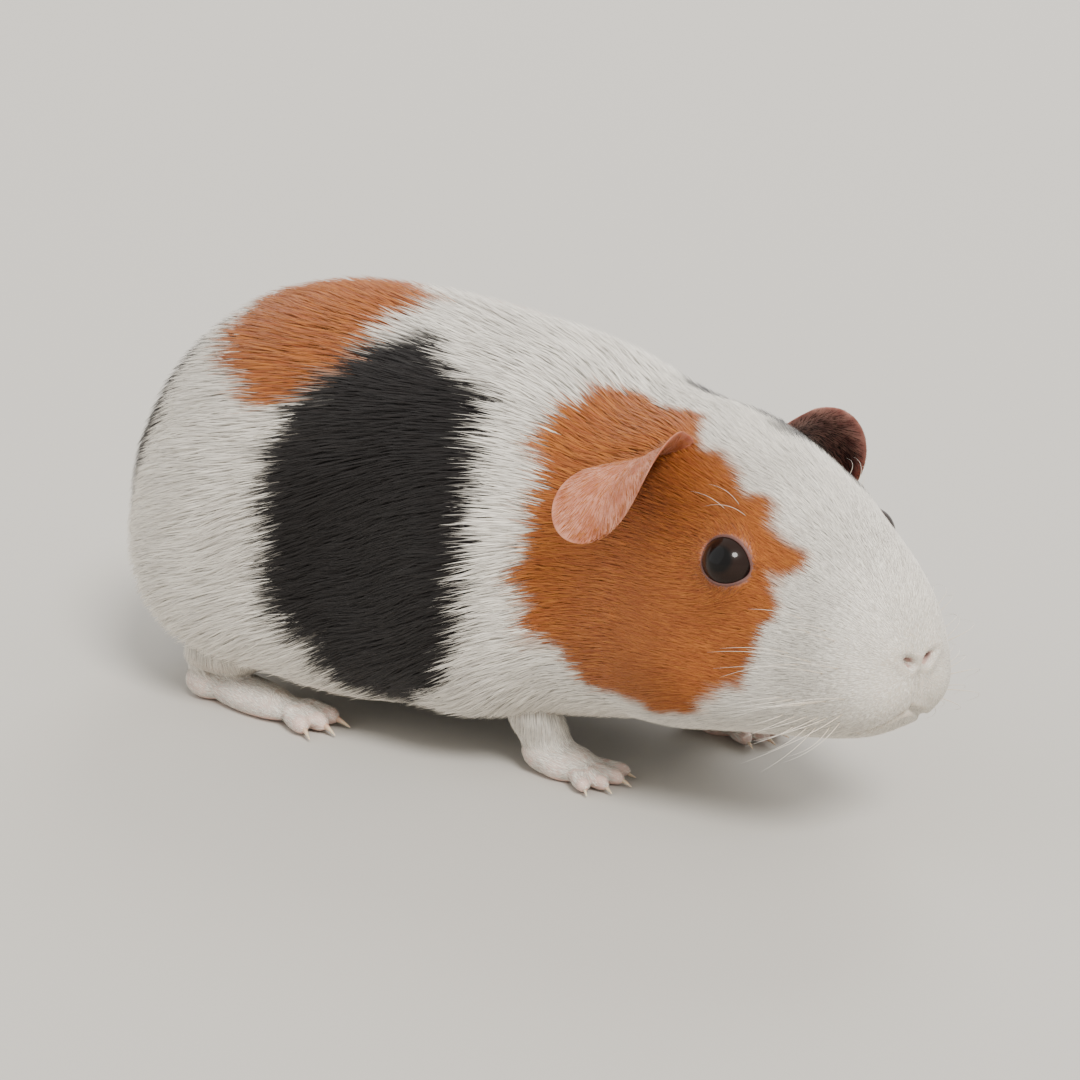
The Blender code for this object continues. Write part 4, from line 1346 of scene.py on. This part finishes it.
# %% Hair
def build_hair_tone():
    """Root, tip and lock-to-lock tones laid over a colour. The darker root is part undercolour, part painted
    shade.
    """
    g = Graph(bpy.data.node_groups.new("hair tone", "ShaderNodeTree"))
    given = group_inputs(g, {
        "Colour": ("Color", (0.8, 0.8, 0.8, 1)),
        "Along": ("Float", 0.5),
        "Shade": ("Float", 0.5),
        "Place": ("Vector", None),
        "Root": ("Float", 0.50),
        "Tip": ("Float", 1.10),
        "Spread": ("Float", 0.42),
    })
    # The root's darkening is partly the hair's own undercolour and partly painted shade of the locks lying
    # over it.
    fade = g.spread(given["Along"], 0.0, 0.8, given["Root"], given["Tip"])
    darkest = g.sum("SUBTRACT", 1.0, g.times(given["Spread"], 0.5))
    own_tone = g.sum("MULTIPLY_ADD", given["Shade"], given["Spread"], darkest)
    cloud = g.sum("MULTIPLY_ADD", g.noise(given["Place"], 70.0, 3.0), 0.35, 0.82)
    toned = g.add("ShaderNodeHueSaturation", {
        "Hue": g.sum("MULTIPLY_ADD", given["Shade"], 0.016, 0.492),
        "Value": g.times(g.times(fade, own_tone), cloud),
        "Color": given["Colour"],
    })
    return group_output(g, "Colour", "Color", toned)


hair_tone_and_root_shade = build_hair_tone()
coat_material, g, shader = new_material(
    "coat hair", Roughness=0.58, Specular_IOR_Level=0.26, Sheen_Weight=0.04, Sheen_Roughness=0.45)
root_place = attribute(g, "root", "Vector")
patch = group_colour(g, markings, {"Place": root_place})
tones = {"Colour": patch, "Along": attribute(g, "t"), "Shade": attribute(g, "shade"), "Place": root_place}
g.feed(shader.inputs["Base Color"], group_colour(g, hair_tone_and_root_shade, tones))

# %% Skin
# The last and darkest colour is the lid rims' own pigment, and painted shade in the nostrils' hollows.
PINK, DEEP_PINK, DARK_RIM_AND_NOSTRIL_SHADE = colour(206, 150, 134), colour(150, 84, 74), colour(84, 52, 46)
UNDER_COAT = (0.60, 0.56, 0.52, 1)  # skin below the hair is a little darker than the hair
skin_material, g, shader = new_material(
    "cavy skin", Roughness=0.58,
    Subsurface_Weight=0.12, Subsurface_Scale=0.0022, Subsurface_Radius=(1.0, 0.35, 0.2))
patch = group_colour(g, markings, {"Place": attribute(g, "plain", "Vector")})
object_place = g.add("ShaderNodeTexCoord", out="Object")
bare_tint = g.mix(g.spread(g.noise(object_place, 260.0, 4.0), 0.35, 0.7), PINK, DEEP_PINK)
bare_tint = g.mix(0.38, bare_tint, patch)
# Dark where the lid rims have their own pigment, and painted shade down in the nostrils.
bare_tint = g.mix(attribute(g, "dark"), bare_tint, DARK_RIM_AND_NOSTRIL_SHADE)
under_coat = g.mix(1.0, patch, UNDER_COAT, blend_type="MULTIPLY")
g.feed(shader.inputs["Base Color"], g.mix(attribute(g, "bare"), under_coat, bare_tint))
crease = {"Strength": 0.35, "Distance": 0.0002, "Height": g.noise(object_place, 1500.0, 3.0)}
g.feed(shader.inputs["Normal"], g.add("ShaderNodeBump", crease))
skin.data.materials.clear()
skin.data.materials.append(skin_material)

# %% [markdown]
# ## Grow it
# The same tree runs once for each piece of the coat, with its own region, lock and seed. The result is taken
# as a plain mesh and the modifier goes.

# %% Run the tree for each piece
def set_input(modifier, name, value):
    items = modifier.node_group.interface.items_tree
    item = next(item for item in items if item.name == name and item.in_out == "INPUT")
    modifier[item.identifier] = value


FIRST_SEED, SEED_STEP = 40, 10
KEPT_VALUES = {
    "position", "material_index", "custom_normal", ".edge_verts", ".corner_vert", ".corner_edge",
    "t", "shade", "root", "OFBake",
}


def grow_coat(name, region, lock, surface):
    carrier = skin.copy()
    bpy.context.scene.collection.objects.link(carrier)
    modifier = carrier.modifiers.new("grow coat", "NODES")
    modifier.node_group = coat_tree
    inputs = {"Region": region, "Seed": FIRST_SEED + SEED_STEP * region, "Lock": lock, "Surface": surface}
    for key, value in {**inputs, "Material": coat_material}.items():
        set_input(modifier, key, value)
    graph = bpy.context.evaluated_depsgraph_get()
    mesh = bpy.data.meshes.new_from_object(carrier.evaluated_get(graph))
    bpy.data.objects.remove(carrier, do_unlink=True)
    for label in [layer.name for layer in mesh.attributes if layer.name not in KEPT_VALUES]:
        mesh.attributes.remove(mesh.attributes[label])
    # The tree leaves the skin's empty slot in front of the coat's own material.
    mesh.materials.clear()
    mesh.materials.append(coat_material)
    mesh.polygons.foreach_set("material_index", np.zeros(len(mesh.polygons), np.int32))
    mesh.name = name
    print(f"{name}: {len(mesh.polygons)} triangles, {len(mesh.polygons) // len(lock.data.polygons)} locks")
    return add_object(mesh)


bpy.context.scene.collection.objects.link(guide)
SURFACES = {"skin": skin, "guide": guide}
coat = {}
for region, (name, (_, lock_name, surface)) in enumerate(COAT_PIECES.items()):
    coat[name] = grow_coat(name, region, locks[lock_name], SURFACES[surface])
print("coat:", sum(len(piece.data.polygons) for piece in coat.values()), "triangles in all")
for helper in [guide, *locks.values()]:
    bpy.data.objects.remove(helper, do_unlink=True)

# %% [markdown]
# ## Eyes
# A cavy's eye is a dark bead that stands well out of the lids. The ball is a sphere of the frame's size with
# a slightly steeper cornea in front, and the iris is a value on its points, very dark brown round the pupil.

# %% Make the eyes
EYE_RINGS, EYE_COLUMNS = 28, 48
CORNEA_RISE, CORNEA_SLOPE, EYE_GAP = 0.25 * MM, 0.62, 0.05 * MM
# Where the pupil fades into the iris and the iris into the rim, as shares of a quarter turn from the front.
IRIS_STARTS, IRIS_ENDS = (0.24, 0.34), (0.62, 0.74)
PUPIL_TINT, IRIS_TINT = (0.002, 0.0015, 0.0015, 1), (0.013, 0.006, 0.004, 1)
RIM_TINT = (0.006, 0.004, 0.004, 1)


def turns_of(count):
    """Angles that go once round in equal steps, as a row."""
    return (np.arange(count) * 2 * math.pi / count)[None]


def make_eye(side_name):
    eye = EYES[side_name]
    slope = np.linspace(0, math.pi, EYE_RINGS)[:, None]
    radius = eye["radius"] - EYE_GAP + CORNEA_RISE * np.exp(-((slope / CORNEA_SLOPE) ** 4))
    slope, turn, radius = np.broadcast_arrays(slope, turns_of(EYE_COLUMNS), radius)
    direction = np.cos(slope)[..., None] * eye["out"]
    direction = direction + (np.sin(slope) * np.cos(turn))[..., None] * eye["ahead"]
    direction = direction + (np.sin(slope) * np.sin(turn))[..., None] * eye["up"]
    points = eye["centre"] + direction * radius[..., None]
    across, upwards = (np.linspace(0.02, 0.98, count) for count in (EYE_COLUMNS + 1, EYE_RINGS))
    uvs = np.stack(np.broadcast_arrays(across[None], upwards[:, None]), -1)
    ball = grid_mesh(f"eyeball_{side_name}", points, uvs, 0)
    away = unit(mesh_points(ball.data) - eye["centre"]) @ eye["out"]
    store(ball.data, "iris", np.degrees(np.arccos(np.clip(away, -1, 1))) / 90)
    ball.data.shade_smooth()
    ball.data.materials.append(eye_material)
    return ball


eye_material, g, shader = new_material(
    "dark eye", Roughness=0.3, Coat_Weight=0.5, Coat_Roughness=0.015, Coat_IOR=1.38, Specular_IOR_Level=0.05)
ring = attribute(g, "iris")
iris_tint = g.mix(g.spread(ring, *IRIS_STARTS), PUPIL_TINT, IRIS_TINT)
g.feed(shader.inputs["Base Color"], g.mix(g.spread(ring, *IRIS_ENDS), iris_tint, RIM_TINT))
eyeballs = {side_name: make_eye(side_name) for side_name in SIDES}
print("eyes:", len(eyeballs["left"].data.polygons), "faces each")

# %% [markdown]
# ## Claws
# Each toe ends in a thin curved claw of horn, longer behind than in front. It keeps the solid's own curve,
# with enough rings and sides to look turned rather than cut.

# %% Make the claws
CLAW_SINK, CLAW_RINGS, CLAW_SIDES = 1.6 * MM, 12, 14
CLAW_CURVE, CLAW_TAPER, CLAW_TIP, CLAW_FLATNESS = 1.7, 1.3, 0.14, 0.8
CLAW_CLEARS_FLOOR = 0.55 * MM


def strip_map(sides, rows, index, count):
    """The map of one tube among several that lie side by side on their piece's map."""
    across = (index + np.linspace(0.04, 0.96, sides + 1)[None]) / count
    return np.stack(np.broadcast_arrays(across, np.linspace(0, 1, rows)[:, None]), -1)


def tube(name, path, rings, along, strip):
    """A closed tube of rings round a path, which keeps how far along each point is."""
    sides = rings.shape[1]
    points = np.concatenate([path[:1, None].repeat(sides, 1), rings, path[-1:, None].repeat(sides, 1)])
    made = grid_mesh(name, points, strip, 0)
    # Point 0 is the first pole, then come the rings in order, and the last pole.
    store(made.data, "t", np.concatenate([[0], np.repeat(along[:, 0], sides), [1]]))
    return made


def join_objects(objects, name, material):
    """Joins several meshes into one piece with one material."""
    bm = bmesh.new()
    for obj in objects:
        bm.from_mesh(obj.data)
        bpy.data.objects.remove(obj, do_unlink=True)
    mesh = bpy.data.meshes.new(name)
    bm.to_mesh(mesh)
    bm.free()
    mesh.materials.append(material)
    mesh.shade_smooth()
    return add_object(mesh)


def make_claws(limb, side_name):
    shape, side = LIMBS[limb], SIDES[side_name]
    claw_length, radius = (value * MM for value in shape["claw"])
    level = shape["toe_radius"] * MM * 1.05
    drop = CLAW_CLEARS_FLOOR + 0.25 * radius - level
    along = np.linspace(0, 1, CLAW_RINGS)[:, None]
    size = radius * (1 - (1 - CLAW_TIP) * along**CLAW_TAPER)
    turn = turns_of(CLAW_SIDES)
    made = []
    for k, (toe, start, aim, _, reach) in enumerate(toe_frames(limb, side)):
        aim = np.array(aim)
        middle = np.array(start) + aim * (reach - CLAW_SINK) + aim * (claw_length * along)
        middle[:, 2] = level + drop * along[:, 0] ** CLAW_CURVE
        ring = np.cross(UP, aim) * (CLAW_FLATNESS * size * np.cos(turn))[..., None]
        ring = ring + UP * (size * np.sin(turn))[..., None]
        rings = step_foot((middle[:, None] + ring).reshape(-1, 3), limb, side_name).reshape(ring.shape)
        middle = step_foot(middle, limb, side_name)
        strip = strip_map(CLAW_SIDES, CLAW_RINGS + 2, k, len(shape["toes"]))
        made.append(tube(f"claw {toe}", middle, rings, along, strip))
    return join_objects(made, f"claws_{limb}_{side_name}", claw_material)


QUICK, HORN, STREAK = colour(196, 140, 120), colour(214, 196, 168), colour(120, 96, 78)
claw_material, g, shader = new_material(
    "claw horn", Roughness=0.32, Subsurface_Weight=0.25, Subsurface_Scale=0.001, Specular_IOR_Level=0.5)
streaks = g.times(g.noise(g.add("ShaderNodeTexCoord", out="Object"), 900.0, 2.0), 0.35)
horn = g.mix(g.spread(attribute(g, "t"), 0.25, 0.75), QUICK, HORN)
g.feed(shader.inputs["Base Color"], g.mix(streaks, horn, STREAK))
claws = {(limb, side_name): make_claws(limb, side_name) for limb in LIMBS for side_name in SIDES}
print("claws:", sum(len(piece.data.polygons) for piece in claws.values()), "faces")

# %% [markdown]
# ## Whiskers
# Rows of stiff whiskers stand on the upper lip, with a few finer ones above the eye. Each is a tapered tube
# along a curve that leaves the skin outwards, sweeps back and droops. The rows are a table, and a seeded
# draw gives each hair its own length and lean.

# %% Make the whiskers
# Each row: distance from the nose in mm, angle round the body in degrees, how many whiskers, their spacing,
# and the least and greatest length in mm.
WHISKER_ROWS = {
    "lip, lowest": (7.5, -38, 5, 2.5, 16, 24),
    "lip, low": (6.5, -25, 6, 2.5, 22, 33),
    "lip, middle": (6.0, -11, 6, 2.6, 26, 40),
    "lip, high": (7.5, 5, 5, 2.6, 24, 36),
    "lip, highest": (9.0, 20, 4, 2.6, 16, 26),
    "brow": (35, 47, 3, 2.2, 11, 16),
}
WHISKER_RADIUS, WHISKER_STEPS, WHISKER_SIDES = 0.11 * MM, 14, 5
WHISKER_ROOT = 0.4 * MM  # how far it starts below the skin
WHISKER_SEEDS = {"left": 7, "right": 8}


def whisker(root, out, back, length, droop, radius, strip):
    """A closed tapered tube that starts just inside the skin."""
    t = np.linspace(0, 1, WHISKER_STEPS)[:, None]
    path = root + out * (length * (t - 0.38 * t * t)) + back * (length * (0.35 * t + 0.32 * t * t))
    path = path - UP * droop * length * t**2
    along = unit(np.gradient(path, axis=0))
    side = unit(np.cross(along, [0.13, 0.21, 0.97]))
    over, turn, size = np.cross(side, along), turns_of(WHISKER_SIDES), radius * (1 - 0.93 * t**0.9)
    ring = side[:, None] * (size * np.cos(turn))[..., None]
    rings = path[:, None] + ring + over[:, None] * (size * np.sin(turn))[..., None]
    return tube("whisker", path, rings, t, strip)


def make_whiskers(side_name):
    side, draw = SIDES[side_name], np.random.default_rng(WHISKER_SEEDS[side_name])
    hairs, total = [], sum(row[2] for row in WHISKER_ROWS.values())
    for s, degrees, count, spacing, least, most in WHISKER_ROWS.values():
        for k in range(count):
            place_s = (s + spacing * k + draw.uniform(-0.4, 0.4)) * MM
            angle = math.radians(degrees + draw.uniform(-2.5, 2.5))
            angle = angle if side > 0 else math.pi - angle
            outline = body_point(place_s, angle)
            normal = body_normal(*np.broadcast_arrays(np.array(place_s), np.array(angle)))
            root = turn_head(outline - normal * (coat_depth(outline[None])[0] + WHISKER_ROOT))
            ways = turn_directions(np.array([normal, [-1.0, 0.0, 0.0]]), np.array([place_s, place_s]))
            out = unit(ways[0] + 0.25 * UP + draw.normal(0, 0.07, 3))
            length = draw.uniform(least, most) * MM * (1.12 - 0.12 * k)
            strip = strip_map(WHISKER_SIDES, WHISKER_STEPS + 2, len(hairs), total)
            radius = WHISKER_RADIUS * (0.6 if count < 4 else 1)
            hairs.append(whisker(root, out, ways[1], length, draw.uniform(0.10, 0.28), radius, strip))
    return join_objects(hairs, f"whiskers_{side_name}", whisker_material)


whisker_material, g, shader = new_material("whisker", Roughness=0.35, Specular_IOR_Level=0.6)
whisker_tint = g.mix(attribute(g, "t"), colour(196, 180, 158), colour(240, 236, 226))
g.feed(shader.inputs["Base Color"], whisker_tint)
whiskers = {side_name: make_whiskers(side_name) for side_name in SIDES}
print("whiskers:", sum(len(piece.data.polygons) for piece in whiskers.values()), "faces")

# %% [markdown]
# ## Put the pieces on the frame
# The animal is still, so every piece rides on the one body. The skin stands for every node of flesh, the
# eyeballs for the eyes, and each foot's claws for its own.

# %% Ride and replace
def finish_piece(piece, slot, *nodes):
    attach(piece, "root")
    if nodes:
        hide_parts(*nodes)


skin.data.shade_smooth()
finish_piece(skin, "bare_skin", *FLESH)
for name, piece in coat.items():
    finish_piece(piece, COAT_PIECES[name][0])
for side_name in SIDES:
    finish_piece(eyeballs[side_name], "eye", f"eye_{side_name}")
    finish_piece(whiskers[side_name], "white_coat")
    for limb in LIMBS:
        nodes = [f"claw_{limb}_{toe}_{side_name}" for toe in LIMBS[limb]["toes"]]
        finish_piece(claws[limb, side_name], "claw", *nodes)

# %% [markdown]
# ## The studio
# A wide pale floor, a large soft key from the animal's front and right, a broad fill and a light from behind
# to draw the coat's edge. The camera stands a little above the animal's eye and sees three quarters of its
# face.

# %% Floor and light
FLOOR_REACH = 60.0
PAPER, SKY, SKY_STRENGTH = colour(184, 180, 173), colour(232, 230, 226), 1.3
# Each light stands far off, so that the whole floor is lit alike: where it shines from, how wide it looks in
# degrees, its strength and its colour.
LIGHTS = {
    "key": ((0.9, -0.5, 1.0), 20, 4.6, (1.0, 0.98, 0.945)),
    "fill": ((-0.9, -1.0, 0.7), 70, 0.6, (0.93, 0.96, 1.0)),
    "rim": ((-0.5, 1.0, 0.7), 30, 1.4, (1.0, 0.98, 0.95)),
}

floor_mesh = bpy.data.meshes.new("floor")
corners = [(x * FLOOR_REACH, y * FLOOR_REACH, 0) for x, y in ((-1, -1), (1, -1), (1, 1), (-1, 1))]
floor_mesh.from_pydata(corners, [], [(0, 1, 2, 3)])
floor_mesh.materials.append(new_material("floor paper", Base_Color=PAPER, Roughness=0.8)[0])
add_object(floor_mesh)
world = bpy.data.worlds.new("studio")
world.use_nodes = True
sky = world.node_tree.nodes["Background"]
sky.inputs["Color"].default_value = SKY
sky.inputs["Strength"].default_value = SKY_STRENGTH
bpy.context.scene.world = world
for name, (spot, width, strength, tint) in LIGHTS.items():
    lamp = bpy.data.lights.new(name, "SUN")
    lamp.angle, lamp.energy, lamp.color = math.radians(width), strength, tint
    light = bpy.data.objects.new(name, lamp)
    light.location = spot
    light.rotation_euler = (-Vector(spot)).to_track_quat("-Z", "Y").to_euler()
    bpy.context.scene.collection.objects.link(light)

# %% Camera
AZIMUTH, ELEVATION, DISTANCE, LENS = math.radians(40), math.radians(15), 0.62, 85
AIM_AT = Vector((0.002, 0.0, 0.047))
level = math.cos(ELEVATION)
view = Vector((math.sin(AZIMUTH) * level, -math.cos(AZIMUTH) * level, math.sin(ELEVATION)))
lens = bpy.data.cameras.new("camera")
lens.lens = LENS
camera = bpy.data.objects.new("camera", lens)
camera.location = AIM_AT + view * DISTANCE
camera.rotation_euler = (-view).to_track_quat("-Z", "Y").to_euler()
bpy.context.scene.collection.objects.link(camera)
bpy.context.scene.camera = camera
